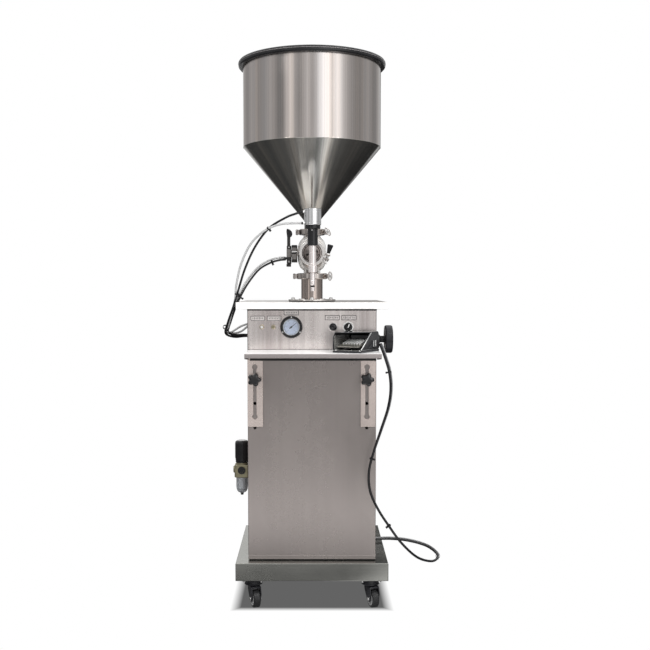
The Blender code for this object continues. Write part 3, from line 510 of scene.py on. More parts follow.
def clear(name, colour, roughness, weight):
    """Clear plastic: partly see-through, with a light tint."""
    material, tree, shader, place = new_material(name)
    slow = noise(tree, place, 60.0, 2.0)
    base = mixed(tree, slow, scaled(colour, 0.9), colour)
    link(tree, shader, Base_Color=base, Roughness=roughness, Transmission_Weight=weight, IOR=1.3)
    return material


def clear_tube(name, colour):
    """Milky plastic hose, its colour painted darker towards its outline: painted shade."""
    material, tree, shader, place = new_material(name)
    facing = node(tree, "LayerWeight", None, Blend=0.35).outputs["Facing"]
    base = mixed(tree, spread(tree, facing, 0.25, 0.70, 0.0, 1.0), colour, scaled(colour, 0.12))
    link(tree, shader, Base_Color=base, Roughness=0.18, Transmission_Weight=0.12, IOR=1.35)
    return material


def second_tone(material, amount, tint, metallic):
    """Multiplies a metal's colour by a tint, and changes its share of metal, by an amount from 0 to 1."""
    tree = material.node_tree
    shader = tree.nodes["Principled BSDF"]
    source = shader.inputs["Base Color"].links[0].from_socket
    tree.links.new(mixed(tree, 1.0, source, mixed(tree, amount, (1, 1, 1), tint), "MULTIPLY"),
                   shader.inputs["Base Color"])
    share = shader.inputs["Metallic"]
    if share.is_linked:
        before = share.links[0].from_socket
    else:
        before = share.default_value
    rest = maths(tree, "MULTIPLY", before, maths(tree, "SUBTRACT", 1.0, amount))
    tree.links.new(maths(tree, "ADD", rest, maths(tree, "MULTIPLY", amount, metallic)), share)
    return material


def paint_top_face_light(material, tint, metallic):
    """Paints the faces of a sheet that point up in a tone of their own, so that its top and its sides read as lit and
    shaded copies of one steel: painted light and shade.
    """
    tree = material.node_tree
    up = node(tree, "SeparateXYZ", None, in0=node(tree, "NewGeometry").outputs["Normal"]).outputs[2]
    return second_tone(material, spread(tree, up, 0.45, 0.9, 0.0, 1.0), tint, metallic)


def outline(material, tint, metallic=1.0, start=0.55, end=0.85):
    """Paints the faces that turn away from the eye in a tone of their own: with a dark tint a painted shade along the
    outline of round metal, with a light tint a painted highlight there.
    """
    tree = material.node_tree
    facing = node(tree, "LayerWeight", None, Blend=0.5).outputs["Facing"]
    return second_tone(material, spread(tree, facing, start, end, 0.0, 1.0), tint, metallic)


def knurled_rubber(name, colour, roughness):
    """Rubber with fine pores and a dusty sheen."""
    material, tree, shader, place = new_material(name)
    pores = noise(tree, place, 900.0, 2.0)
    dust = noise(tree, place, 25.0, 5.0)
    base = mixed(tree, spread(tree, dust, 0.5, 0.75, 0.0, 0.35), colour, scaled(colour, 3.0))
    link(tree, shader, Base_Color=base, Roughness=spread(tree, dust, 0.3, 0.7, roughness - 0.08, roughness + 0.1),
         Normal=bump(tree, pores, 0.6, 0.00008))
    return material


def make_finishes():
    """Each finish: its material, and the name of the material slot that it belongs to."""
    stack = Box("hopper")
    axis = (ORIGIN.x + stack.x * MM, ORIGIN.y + stack.y * MM, 0.0)
    return {
        "cabinet": (sheet_metal("cabinet_steel", (0.385, 0.344, 0.328), 0.25, metallic=0.7, contrast=0.10),
                    "brushed_steel"),
        "panel": (sheet_metal("panel_steel", (0.89, 0.80, 0.775), 0.26, grain=0.24, smudge=0.30, waves=3.0,
                             contrast=0.24),
                  "polished_steel"),
        # The table's top is painted darker and more metallic than its white skirt: painted light and shade.
        "table": (paint_top_face_light(sheet_metal("table_steel", (0.96, 0.94, 0.92), 0.34, "X", smudge=0.10, metallic=0.2,
                                       contrast=0.05), (0.6, 0.59, 0.58), 0.7), "brushed_steel"),
        # The platform's top is painted near white, lighter than its folded lip: painted light on the top.
        "platform": (paint_top_face_light(sheet_metal("platform_steel", (0.64, 0.585, 0.575), 0.22, "X", smudge=0.12,
                                          waves=0.4, contrast=0.10), (1.55, 1.68, 1.70), 0.2), "polished_steel"),
        "bracket": (sheet_metal("bracket_steel", (0.92, 0.80, 0.745), 0.26, "Z", smudge=0.16, metallic=0.8,
                                contrast=0.12), "polished_steel"),
        "base": (sheet_metal("base_steel", (0.385, 0.385, 0.36), 0.24, "X", smudge=0.30, waves=3.0, metallic=0.97,
                            contrast=0.20),
                 "base_steel"),
        "hopper_wall": (round_steel("hopper_wall_steel", (0.72, 0.685, 0.675), 0.14, axis), "brushed_steel"),
        # The cone is the hopper wall's steel painted darker and cooler: painted shade for its darker reflection.
        "hopper_cone": (round_steel("hopper_cone_steel", (0.60, 0.60, 0.58), 0.15, axis, painted_streaks=0.4),
                        "brushed_steel"),
        # On the valve, outline() paints white edges, a painted highlight, then a dark outline, painted shade; the
        # finishes below also get a painted dark outline.
        "valve": (outline(outline(round_steel("valve_steel", (0.36, 0.32, 0.30), 0.16, axis, painted_streaks=0.5),
                                  (2.3, 2.6, 2.75), 0.2, 0.16, 0.40), (0.22, 0.18, 0.17), 0.8, 0.74, 0.92),
                  "polished_steel"),
        # The front clamp's ring: the clamp steel painted lighter, a painted highlight on the ring that faces the eye,
        # with a painted dark outline.
        "ring": (outline(plain("ring_steel", (0.80, 0.77, 0.75), 0.16, 0.75, 0.15), (0.20, 0.17, 0.16), 1.0, 0.35,
                         0.75), "polished_steel"),
        # The outlet bend's steel is painted darker than the polished parts round it: painted shade, as it sits in
        # shadow.
        "outlet": (outline(plain("outlet_steel", (0.42, 0.375, 0.355), 0.13, 1.0, 0.20), (0.22, 0.19, 0.18), 1.0,
                           0.4, 0.8), "polished_steel"),
        "stack": (outline(round_steel("stack_steel", (0.62, 0.55, 0.52), 0.14, axis, painted_streaks=0.6),
                          (0.28, 0.24, 0.23), 1.0, 0.30, 0.75), "polished_steel"),
        "clamp": (outline(plain("clamp_steel", (0.56, 0.51, 0.48), 0.12, 1.0, 0.12), (0.22, 0.19, 0.18), 1.0,
                          0.45, 0.80), "polished_steel"),
        "nozzle": (outline(plain("nozzle_steel", (0.92, 0.85, 0.83), 0.16, 0.75, 0.06), (0.30, 0.25, 0.24)),
                   "polished_steel"),
        "nozzle_can": (plain("can_aluminium", (0.92, 0.92, 0.93), 0.20, 1.0, 0.05), "aluminium"),
        "polished": (outline(plain("polished_steel", (0.82, 0.78, 0.75), 0.14, 1.0, 0.08), (0.35, 0.32, 0.30)),
                     "polished_steel"),
        "bright": (outline(plain("bright_zinc", (0.95, 0.94, 0.93), 0.18, 0.8, 0.05), (0.35, 0.33, 0.31)),
                   "polished_steel"),
        "shaft": (plain("ground_steel", (0.62, 0.61, 0.60), 0.20, 1.0, 0.06), "polished_steel"),
        "aluminium": (plain("turned_aluminium", (0.86, 0.86, 0.88), 0.24, 1.0, 0.05), "aluminium"),
        "cast": (plain("cast_aluminium", (0.60, 0.60, 0.61), 0.42, 1.0, 0.10, 250.0, 0.0001), "aluminium"),
        "dark": (plain("dark_enamel", (0.060, 0.060, 0.064), 0.13, 0.6, 0.25), "dark_metal"),
        # Painted white: two marks on the pedal's side, and a painted highlight along the hood's edges.
        "marks_and_edge_highlight": (plain("worn_enamel", (0.85, 0.85, 0.84), 0.25, 0.5, 0.1), "dark_metal"),
        "tread": (plain("tread_metal", (0.33, 0.315, 0.28), 0.22, 0.8, 0.25), "dark_metal"),
        "rib": (plain("rib_metal", (0.80, 0.80, 0.78), 0.30, 0.5, 0.2), "dark_metal"),
        # A light grey sheet on the dark hood's inner faces: a painted reflection.
        "lining": (plain("lining_metal", (0.62, 0.61, 0.58), 0.22, 0.8, 0.35, 60.0, 0.0002), "dark_metal"),
        "actuator": (plain("anodised_dark", (0.035, 0.033, 0.033), 0.26, 0.5, 0.2), "dark_metal"),
        # A mid grey on the dark actuator: a painted sheen on its body's middle band and on its mounting stack.
        "actuator_grey": (plain("anodised_grey", (0.26, 0.245, 0.235), 0.28, 0.8, 0.15), "dark_metal"),
        "plastic": (plain("black_plastic", (0.008, 0.008, 0.009), 0.20, 0.0, 0.2, 500.0), "black_plastic"),
        "gloss": (plain("gloss_plastic", (0.006, 0.006, 0.007), 0.09, 0.0, 0.2, 500.0, 0.00002, 1.0), "black_plastic"),
        "satin": (plain("satin_plastic", (0.010, 0.010, 0.013), 0.30, 0.0, 0.2, 700.0, 0.00008), "black_plastic"),
        "dome": (plain("grey_dome", (0.55, 0.55, 0.55), 0.35, 0.0, 0.1), "black_plastic"),
        "grey_plastic": (plain("grey_plastic", (0.36, 0.36, 0.36), 0.40, 0.0, 0.1), "black_plastic"),
        "rubber": (knurled_rubber("black_rubber", (0.010, 0.010, 0.011), 0.50), "black_rubber"),
        "trim": (knurled_rubber("trim_rubber", (0.010, 0.010, 0.011), 0.25), "black_rubber"),
        # A painted highlight line on the hopper's black trim.
        "trim_line": (plain("trim_line", (0.20, 0.19, 0.19), 0.4), "black_rubber"),
        "hose": (plain("black_hose", (0.006, 0.006, 0.007), 0.20, 0.0, 0.2), "black_rubber"),
        "grey_hose": (plain("grey_hose", (0.22, 0.22, 0.225), 0.25, 0.0, 0.15), "black_rubber"),
        "clear_hose": (clear_tube("clear_hose", (0.52, 0.52, 0.52)), "clear_plastic"),
        "brass": (plain("dull_brass", (0.30, 0.275, 0.18), 0.38, 0.75, 0.30, 260.0, 0.00015), "valve_brass"),
        "nickel": (plain("warm_nickel", (0.60, 0.53, 0.42), 0.24, 1.0, 0.12), "valve_brass"),
        "bowl": (clear("clear_bowl", (0.80, 0.82, 0.85), 0.08, 0.8), "clear_plastic"),
        "lens": (clear("lens", (0.97, 0.98, 1.0), 0.03, 1.0), "clear_plastic"),
        "dial": (plain("dial_card", (0.62, 0.68, 0.80), 0.45, vary=0.02, fine=1500.0, depth=0.00001),
                 "seal_white"),
        "ink": (plain("printing_ink", (0.02, 0.02, 0.025), 0.4), "needle_paint"),
        "label": (plain("label_plate", (0.80, 0.75, 0.73), 0.30, 0.6, 0.06), "polished_steel"),
        "label_frame": (plain("label_frame", (0.10, 0.085, 0.085), 0.35, 0.2), "needle_paint"),
        "seal": (plain("sealing_plastic", (0.86, 0.86, 0.84), 0.4), "seal_white"),
        "gap": (plain("shadow_gap", (0.012, 0.012, 0.012), 0.7), "base_steel"),
    }


# ---------------------------------------------------------------- base, casters, cabinet, table

def make_base():
    """The folded tray, its welded corners, and the caster plates with their bolts."""
    box = Box("base_frame")
    skirt_low = box.top - 51.0
    section = fillet([(8, box.top), (0, box.top), (0, skirt_low), (62, skirt_low), (62, skirt_low + 2),
                      (2, skirt_low + 2), (2, box.top - 2), (8, box.top - 2)], 2.2, closed=False)
    piece("base_tray", "frame", "base", [wrap(section, box, 2.2)], ["base_frame"])
    seams = []
    for side_x in (-1, 1):
        for side_y in (-1, 1):
            x = side_x * (box.width / 2 - 0.6)
            y = side_y * (box.depth / 2 - 0.6)
            seams.append(tube([(x, y, skirt_low + 1), (x, y, box.z + 2), (x, y, box.top - 1)], 1.0, 3, 8))
    piece("base_corner_welds", "frame", "base", seams)
    plates, bolts = [], []
    for fork in caster_forks():
        plate_low = skirt_low - 3.0
        plates.append(block(fork.x0 - 32, fork.x0 + 32, fork.y0 - 32, fork.y0 + 32, plate_low, skirt_low - 0.1,
                            corner=7, edge=0.4))
        for side_x in (-1, 1):
            for side_y in (-1, 1):
                bolts += hex_bolt((fork.x0 + side_x * 24, fork.y0 + side_y * 24, plate_low), up=-1, size=4,
                                  height=2.6)
    piece("caster_plates", "frame", "plastic", plates)
    piece("caster_bolts", "frame", "bright", bolts)


def caster_forks():
    """The four forks' boxes, with the swivel axis as x0 and y0."""
    forks = []
    base = Box("base_frame")
    for end, side_y in (("front", -1), ("rear", 1)):
        for side, side_x in (("left", -1), ("right", 1)):
            fork = Box(f"{end}_{side}_caster_fork")
            fork.name = f"{end}_{side}"
            fork.x0 = base.x + side_x * (base.width / 2 - 48)
            fork.y0 = base.y + side_y * (base.depth / 2 - 39)
            forks.append(fork)
    return forks


def make_caster(fork):
    """A twin-plate fork with its swivel head, and a wheel with a treaded tyre on a grey hub."""
    top = fork.top
    axle_z = Box(fork.name + "_caster_wheel").z
    head = lathe([(0, 56), (15, 56), (19, 60), (24, 64), (24.3, 68), (23, 70.5), (23, top), (0, top)],
                 edge=1.2, segments=40)
    lip = lathe([(23.4, 62), (25.6, 62), (25.6, 66), (23.4, 66)], edge=0.6, segments=40)
    leg = fillet([(-CASTER_TRAIL - 9, axle_z - 8), (-CASTER_TRAIL + 9, axle_z - 8), (10, 44), (13, 60),
                  (-31, 60), (-37, 42)], 7, steps=5)
    legs = [slab(leg, low, high, "X", edge=0.7) for low, high in ((-14.2, -11.8), (11.8, 14.2))]
    crown = block(-14.2, 14.2, -31, 12, 55.5, 60.5, corner=5, edge=0.8)
    turn = (0, 0, CASTER_TURN)
    at = (fork.x0, fork.y0, 0)
    fork_shapes = [head, lip, crown] + legs
    piece(fork.name + "_fork", fork.name + "_swivel", "satin", [moved(s, at, turn) for s in fork_shapes],
          [fork.name + "_caster_fork"])
    wheel_at = (fork.x0 + CASTER_TRAIL * math.sin(math.radians(CASTER_TURN)),
                fork.y0 - CASTER_TRAIL * math.cos(math.radians(CASTER_TURN)), axle_z)
    ends = []
    for side in (-1, 1):
        ends.append(lathe([(0, side * 14.4), (5.2, side * 14.4), (5.2, side * 16.4), (0, side * 17.2)],
                          axis="X", segments=24, edge=0.7))
    piece(fork.name + "_axle", fork.name + "_swivel", "bright", [moved(s, wheel_at, turn) for s in ends])
    radius = Box(fork.name + "_caster_wheel").height / 2
    tyre = [(15.5, -9.6), (22.5, -9.8), (radius - 1.1, -8.2), (radius, -5), (radius, 5), (radius - 1.1, 8.2),
            (22.5, 9.8), (15.5, 9.6)]
    treads = []
    for i in range(22):
        knob = block(-8.0, 8.0, -1.5, 1.5, radius - 1.2, radius + 0.25, corner=0.5, edge=0.3)
        treads.append(moved(knob, turn=(360 * i / 22, 0, 0)))
    hub = [lathe([(3.4, -8.6), (8, -8.6), (9, -7), (14, -7), (15.2, -9), (15.4, -9), (15.4, 9), (15.2, 9),
                  (14, 7), (9, 7), (8, 8.6), (3.4, 8.6)], axis="X", segments=44, edge=0.4)]
    for side in (-1, 1):
        hub.append(lathe([(15.3, side * 9.2), (18.2, side * 9.9), (18.6, side * 10.3), (17.2, side * 10.6),
                          (15.3, side * 10.3)], axis="X", segments=44, edge=0.3))
    tyre_shapes = [lathe(tyre, axis="X", segments=56, edge=1.2)] + treads
    tyre_piece = piece(fork.name + "_tyre", fork.name + "_wheel", "rubber",
                       [moved(s, wheel_at, turn) for s in tyre_shapes], [fork.name + "_caster_wheel"])
    hub_piece = piece(fork.name + "_hub", fork.name + "_wheel", "grey_plastic",
                      [moved(s, wheel_at, turn) for s in hub])
    return tyre_piece, hub_piece


def make_cabinet():
    """The column of bent sheet over a set-back plinth, with its openings and spare stud holes."""
    box = Box("cabinet_shell")
    panel = Box("control_panel")
    door = Box("rear_door")
    hem = box.bottom + 3.0
    section = [(0, hem), (0, hem + 11), (0.7, hem + 11.8), (0, hem + 12.6), (0, box.top), (2, box.top),
               (2, hem)]
    walls = wrap(fillet(section, 0.4), box, 2.6, closed=True)
    inside = box.width / 2 - 2
    openings = [block(-inside, inside, box.front - 9, box.front + 9, panel.bottom - 0.4, panel.top + 0.4, 0.2, 0),
                block(-148, 148, box.back - 9, box.back + 9, door.bottom + 8, door.top - 8, 6, 0, "Y")]
    for knob in (Box("left_star_knob"), Box("right_star_knob")):
        for step in range(3):
            hole = circle(4.6, 20, (STUD_HEIGHT - STUD_PITCH * step, knob_axis(knob)))
            openings.append(slab(hole, box.front - 9, box.front + 9, "Y", edge=0))
    shaft = Box("handwheel_shaft")
    openings.append(slab(circle(7.4, 24, (shaft.y, shaft.z)), box.right - 9, box.right + 9, "X", edge=0))
    for height in HOSE_ENTRY_HEIGHTS:
        openings.append(slab(circle(9, 24, (HOSE_ENTRY_Y, height)), box.left - 9, box.left + 9, "X", edge=0))
    piece("cabinet_walls", "frame", "cabinet", [walls], ["cabinet_shell"], cut=openings)
    # A dark strip round the cabinet's top, under the table: painted shadow.
    strip = [(-0.7, box.top - 21.5), (-0.7, box.top - 17.5), (0.5, box.top - 17.5), (0.5, box.top - 21.5)]
    piece("cabinet_top_seal", "frame", "gap", [wrap(strip, box, 3.0, closed=True)])
    # The set-back plinth is painted near black: painted shadow in the gap under the sheet.
    plinth = [(4, box.bottom - 0.2), (4, hem + 6), (6, hem + 6), (6, box.bottom - 0.2)]
    piece("cabinet_plinth", "frame", "gap", [wrap(plinth, box, 2.0, closed=True)])


def knob_axis(knob):
    """The stud's place across the cabinet; a knob's own box is lopsided, because its lobes are."""
    return math.copysign(KNOB_X, knob.x) + KNOB_SHIFT


def make_rear_door():
    """A sheet door with its hinge barrel, knuckles, louvres and a round pull."""
    box = Box("rear_door")
    sheet = box.back - 20.0
    left, right = box.left + 3.2, box.right
    low, high = box.bottom, box.top
    louvres = []
    for i in range(6):
        z = low + 90 + 16 * i
        curve = fillet([(-0.5, z), (5, z + 8.5), (4, z + 10), (-0.5, z + 10)], 0.8)
        louvres.append(slab(curve, -70, 70, "X", edge=0.5, centre=(box.x, sheet, 0)))
    leaf = block(left, right, sheet - 2.0, sheet, low, high, 3, 0.5, "Y")
    piece("rear_door_leaf", "rear_door", "cabinet", [leaf] + louvres, ["rear_door"])
    barrel = Vector((-159.5, 184.0, 0))
    knuckles = []
    for centre in (low + 60, box.z, high - 60):
        for step in (-1, 0, 1):
            knuckles.append(lathe([(0, centre + step * 20 - 9.6), (3.4, centre + step * 20 - 9.6),
                                   (3.4, centre + step * 20 + 9.6), (0, centre + step * 20 + 9.6)],
                                  barrel, segments=20, edge=0.5))
    piece("rear_door_hinges", "rear_door", "shaft", knuckles)
    pull = lathe([(0, -1), (9, -1), (9, 5), (14, 11), (14, 17), (11, 19), (0, 19.5)],
                 (box.right - 25, sheet, box.z), "Y", 36, edge=1.5)
    piece("rear_door_pull", "rear_door", "satin", [pull])


def make_table():
    """The shallow tray on top, its skirt turned in at the bottom, holed for the cylinder."""
    box = Box("table_top")
    stack = Box("material_cylinder")
    section = fillet([(8, box.top), (0, box.top), (0, box.bottom), (14, box.bottom), (14, box.bottom + 1.6),
                      (1.8, box.bottom + 1.6), (1.8, box.top - 2), (8, box.top - 2)], 1.8, closed=False)
    hole = slab(circle(33, 48, (stack.x, stack.y)), box.top - 8, box.top + 8, edge=0)
    piece("table_tray", "frame", "table", [wrap(section, box, 2.5)], ["table_top"], cut=[hole])
    # A dark plate under the table: painted shadow below its skirt.
    piece("table_underside", "frame", "gap",
          [block(box.left + 20, box.right - 20, box.front + 20, box.back - 20, box.bottom - 0.6,
                 box.bottom + 0.6, 2, 0.2)], cut=[slab(circle(40, 32, (stack.x, stack.y)),
                                                      box.bottom - 9, box.bottom + 9, edge=0),
                                                 block(-176, 176, -172, 174, box.bottom - 9, box.bottom + 9, 1, 0)])


# ---------------------------------------------------------------- control panel

def make_panel():
    """The panel sheet with its control holes, and blank label plates with thin dark frames."""
    box = Box("control_panel")
    gauge, button, selector = Box("gauge_body"), Box("push_button"), Box("selector_bezel")
    holes = [circle(24, 48, (button.z, gauge.x)), circle(9.8, 32, (button.z, button.x)),
             circle(9.8, 32, (button.z, selector.x))]
    for valve in (Box("needle_valve_left"), Box("needle_valve_right")):
        holes.append(circle(4.6, 20, (button.z, valve.x)))
    outline = fillet(rectangle(box.bottom, box.top, box.left, box.right), 0.6)
    sheet = slab(outline, box.front, box.back, "Y", edge=0.3, holes=holes)
    piece("panel_sheet", "frame", "panel", [sheet], ["control_panel"])
    plates, frames, marks = [], [], []
    for left, right, low, high in ((-172, -131, 812, 827), (-126, -85, 812, 827), (-79, -36, 828, 843),
                                   (36, 78, 814, 829), (82, 125, 814, 829)):
        area = fillet(rectangle(low, high, left, right), 2.0)
        plates.append(slab(area, box.front - 0.75, box.front - 0.1, "Y", edge=0.15))
        line = fillet(rectangle(low + 0.4, high - 0.4, left + 0.4, right - 0.4), 1.8)
        inner = fillet(rectangle(low + 2.0, high - 2.0, left + 2.0, right - 2.0), 1.0)
        frames.append(slab(line, box.front - 0.85, box.front - 0.6, "Y", edge=0, holes=[inner]))
        width = right - left
        for i in range(7):
            x = left + width * (0.17 + 0.11 * i)
            height = (high - low) * (0.20 if i % 3 == 1 else 0.14)
            middle = (low + high) / 2
            marks.append(block(x - 0.7, x + 0.7, box.front - 0.85, box.front - 0.6, middle - height,
                               middle + height, 0.2, 0, "Y"))
    piece("label_plates", "frame", "label", plates)
    piece("label_frames", "frame", "label_frame", frames)
    piece("label_scales", "frame", "label_frame", marks)


def make_gauge():
    """A pressure gauge: black case with three screws, printed dial, clear lens and its needle."""
    box = Box("gauge_body")
    needle = Box("gauge_needle")
    face = box.front
    radius = box.width / 2
    middle = (box.x, 0, Box("push_button").z)
    dial = needle.back + 0.9
    case = [(0, dial + 3), (22.0, dial + 3), (22.0, dial), (22.6, dial - 0.2), (23.6, face + 0.6),
            (25.2, face), (radius - 2.5, face), (radius, face + 3), (radius, box.front + 14), (0, box.front + 14)]
    piece("gauge_case", "frame", "plastic", [lathe(case, middle, "Y", 72, edge=0.8)], ["gauge_body"])
    rim = lathe([(21.6, dial + 0.4), (22.5, dial + 0.4), (23.2, face + 0.9), (22.4, face + 0.9)], middle, "Y", 72,
                edge=0.2)
    screws = []
    for angle in (90, 210, 330):
        x = middle[0] + 27.6 * math.cos(math.radians(angle))
        z = middle[2] + 27.6 * math.sin(math.radians(angle))
        screws.append(lathe([(0, face - 0.9), (1.3, face - 0.8), (1.9, face - 0.1), (1.9, face + 0.6),
                             (0, face + 0.6)], (x, 0, z), "Y", 20, edge=0.2))
    piece("gauge_bright_rim", "frame", "bright", [rim])
    piece("gauge_screws", "frame", "bright", screws)
    card = slab(circle(21.9, 72, (middle[2], middle[0])), dial, dial + 0.5, "Y", edge=0.1)
    piece("gauge_dial", "frame", "dial", [card])
    ticks = []
    for i in range(51):
        long = i % 10 == 0
        angle = math.radians(225 - 270 * i / 50)
        inner = 15.8 if long else (17.3 if i % 5 == 0 else 18.2)
        tick = block(inner, 19.6, dial - 0.12, dial - 0.02, -0.32 if long else -0.16, 0.32 if long else 0.16,
                     0.05, 0, "Y")
        ticks.append(moved(tick, middle, (0, -math.degrees(angle), 0)))
    bar = lathe([(19.6, dial - 0.12), (20.0, dial - 0.12), (20.0, dial - 0.02), (19.6, dial - 0.02)], middle,
                "Y", 72)
    piece("gauge_scale", "frame", "ink", ticks + [bar])
    for i, number in enumerate(DIAL_NUMBERS):
        angle = math.radians(225 - 54 * i)
        at = (middle[0] + 12.6 * math.cos(angle), dial - 0.06, middle[2] + 12.6 * math.sin(angle))
        dial_text(f"gauge_number_{i}", number, at, 3.6)
    lens = slab(circle(22.8, 64, (middle[2], middle[0])), face + 0.8, face + 1.5, "Y", edge=0.1)
    piece("gauge_lens", "frame", "lens", [lens])
    pointer = oriented([(1.1, 0), (0.45, 17.2), (0, 17.8), (-0.45, 17.2), (-1.1, 0), (-1.5, -6.5), (1.5, -6.5)], True)
    blade = slab([(b, a) for a, b in pointer], needle.front + 0.2, needle.front + 0.9, "Y", edge=0.12)
    cap = lathe([(0, needle.front - 0.5), (2.0, needle.front - 0.4), (2.6, needle.front + 0.4),
                 (2.6, needle.front + 1.2), (0, needle.front + 1.2)], axis="Y", segments=28, edge=0.3)
    piece("gauge_pointer", "needle", "ink", [moved(s, middle, (0, GAUGE_READING, 0)) for s in (blade, cap)],
          ["gauge_needle"])


def dial_text(name, text, at, size):
    """A printed number on the dial, facing the operator."""
    curve = bpy.data.curves.new(name, "FONT")
    curve.body = text
    curve.size = size * MM
    curve.align_x = "CENTER"
    curve.align_y = "CENTER"
    curve.extrude = 0.03 * MM
    label = bpy.data.objects.new(name, curve)
    bpy.context.scene.collection.objects.link(label)
    bpy.context.view_layer.update()
    mesh = bpy.data.meshes.new_from_object(label.evaluated_get(bpy.context.evaluated_depsgraph_get()))
    bpy.data.objects.remove(label)
    mesh.transform(Matrix.Translation(Vector(at) * MM + ORIGIN) @ Matrix.Rotation(math.pi / 2, 4, "X"))
    number = bpy.data.objects.new(name, mesh)
    mesh.materials.clear()
    mesh.materials.append(FINISHES["ink"][0])
    bpy.context.scene.collection.objects.link(number)
    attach(number, "frame")


def make_switches():
    """The mushroom start button and the selector with its light pointer, each in a bright bezel."""
    button, bezel = Box("push_button"), Box("push_button_bezel")
    at = (button.x, 0, button.z)
    rim = [(8.6, bezel.back), (8.6, bezel.front + 1.6), (9.4, bezel.front), (11.4, bezel.front),
           (12.5, bezel.front + 2), (12.5, bezel.back - 22.4), (9.1, bezel.back - 22.4), (9.1, bezel.back)]
    piece("start_button_bezel", "frame", "bright", [lathe(rim, at, "Y", 48, edge=0.3)], ["push_button_bezel"])
    front = button.front
    cap = [(0, front + 1.2), (3.2, front + 0.6), (4.6, front), (8.2, front + 0.9), (10.5, front + 4), (10.5, front + 8),
           (7.6, front + 8), (7.6, button.back), (0, button.back)]
    piece("start_button", "button", "plastic", [lathe(cap, at, "Y", 48, edge=0.8)], ["push_button"])
    knob, bezel = Box("selector_knob"), Box("selector_bezel")
    at = (bezel.x, 0, bezel.z)
    rim = [(8.6, bezel.back), (8.6, bezel.front + 3), (11.6, bezel.front + 1.2), (12.4, bezel.front),
           (13.8, bezel.front), (15, bezel.front + 2), (15, bezel.back - 22.4), (9.1, bezel.back - 22.4),
           (9.1, bezel.back)]
    piece("selector_ring", "frame", "seal", [lathe(rim, at, "Y", 56, edge=0.4)], ["selector_bezel"])
    low = bezel.front - 0.4
    body = [(0, low - 5.2), (9.6, low - 5.2), (10.6, low - 4.2), (11.2, low), (7.6, low), (7.6, knob.back), (0, knob.back)]
    grip = block(-3.6, 3.6, knob.front, low - 5, -10.2, 10.2, 1.6, 1.0, "Y")
    turn = (0, SELECTOR_REST, 0)
    piece("selector_body", "selector", "plastic",
          [moved(s, at, turn) for s in (lathe(body, axis="Y", segments=48, edge=0.5), grip)], ["selector_knob"])
    pointer = block(-0.9, 0.9, knob.front - 0.25, knob.front + 0.4, -1.5, 9.0, 0.5, 0.1, "Y")
    piece("selector_pointer", "selector", "seal", [moved(pointer, at, turn)])


def make_needle_valves():
    """Two small speed valves: a hexagon lock nut, and a slotted screw in it."""
    for side in ("left", "right"):
        box = Box(f"needle_valve_{side}")
        at = (box.x, 0, Box("push_button").z)
        face = Box("control_panel").front
        nut = slab(circle(7.4, 6), face - 6.4, face - 0.4, "Y", at, edge=0.9)
        collar = lathe([(0, face - 8.4), (5.4, face - 8.4), (5.8, face - 6.3), (0, face - 6.3)], at, "Y", 32,
                       edge=0.5)
        stem = lathe([(0, box.back), (3.9, box.back), (3.9, face - 0.2), (0, face - 0.2)], at, "Y", 24, edge=0.4)
        screw = slab(circle(3.7, 32), box.front + 0.4, face - 8.2, "Y", at, edge=0.4)
        slot = block(-0.6, 0.6, box.front - 1, box.front + 1.6, -5, 5, 0.1, 0, "Y")
        piece(f"speed_valve_{side}", f"speed_{side}", "nickel", [nut, collar, stem],
              [f"needle_valve_{side}"])
        # The two screws are alike: the left is given the bright finish, a painted highlight, and the right the darker
        # brass, painted shade.
        piece(f"speed_screw_{side}", f"speed_{side}", "bright" if side == "left" else "brass", [screw],
              cut=[moved(slot, at, (0, 40, 0))])


# ---------------------------------------------------------------- product stack

def make_flange():
    """The mounting flange over its dark gasket, which shows as a thin line of painted shade under the plate, with four
    bolts round the cylinder.
    """
    box = Box("mounting_flange")
    stack = Box("material_cylinder")
    axis = (stack.x, stack.y, 0)
    low = box.bottom
    # A dark rubber gasket, shrunk inside the plate so that it shows only as a thin line: a gasket, and painted shade
    # under the flange.
    gasket = lathe([(31.5, low), (67, low), (67, low + 2.2), (31.5, low + 2.2)], axis, segments=72, edge=0.4)
    piece("flange_gasket", "frame", "rubber", [gasket])
    plate = lathe([(31.4, low + 2.3), (68, low + 2.3), (68.6, low + 3.2), (68, low + 6), (40, low + 6), (38, low + 8),
                   (31.4, low + 8)], axis, segments=96, edge=0.6)
    bolts = []
    for turn in range(4):
        angle = math.radians(90 * turn)
        bolts += hex_bolt((stack.x + 55 * math.cos(angle), stack.y + 55 * math.sin(angle), low + 6), size=5.4,
                          height=4.0)
    piece("flange_plate", "frame", "polished", [plate], ["mounting_flange"])
    piece("flange_bolts", "frame", "bright", bolts)


def make_cylinder():
    """The product cylinder: a polished tube with a ferrule at its top."""
    box = Box("material_cylinder")
    axis = (box.x, box.y, 0)
    top = box.top
    tube_wall = [(27, box.bottom), (31, box.bottom), (31, top - 6), (box.width / 2 - 1.2, top - 3),
                 (box.width / 2, top - 2.6), (box.width / 2, top), (27, top)]
    piece("product_cylinder", "frame", "stack", [lathe(tube_wall, axis, segments=96, edge=0.7)],
          ["material_cylinder"])
    gaskets = []
    for joint, bore in ((Box("lower_clamp"), 27.5), (Box("upper_clamp"), 20.5)):
        gaskets.append(lathe([(bore, joint.z - 0.75), (joint_radius(joint) - 1, joint.z - 0.75),
                              (joint_radius(joint) - 1, joint.z + 0.75), (bore, joint.z + 0.75)], axis,
                             segments=48))
    piece("joint_gaskets", "frame", "seal", gaskets)


def joint_radius(clamp):
    """The ferrule's radius inside a clamp, from the clamp's depth."""
    return clamp.depth / 2 - 5.0


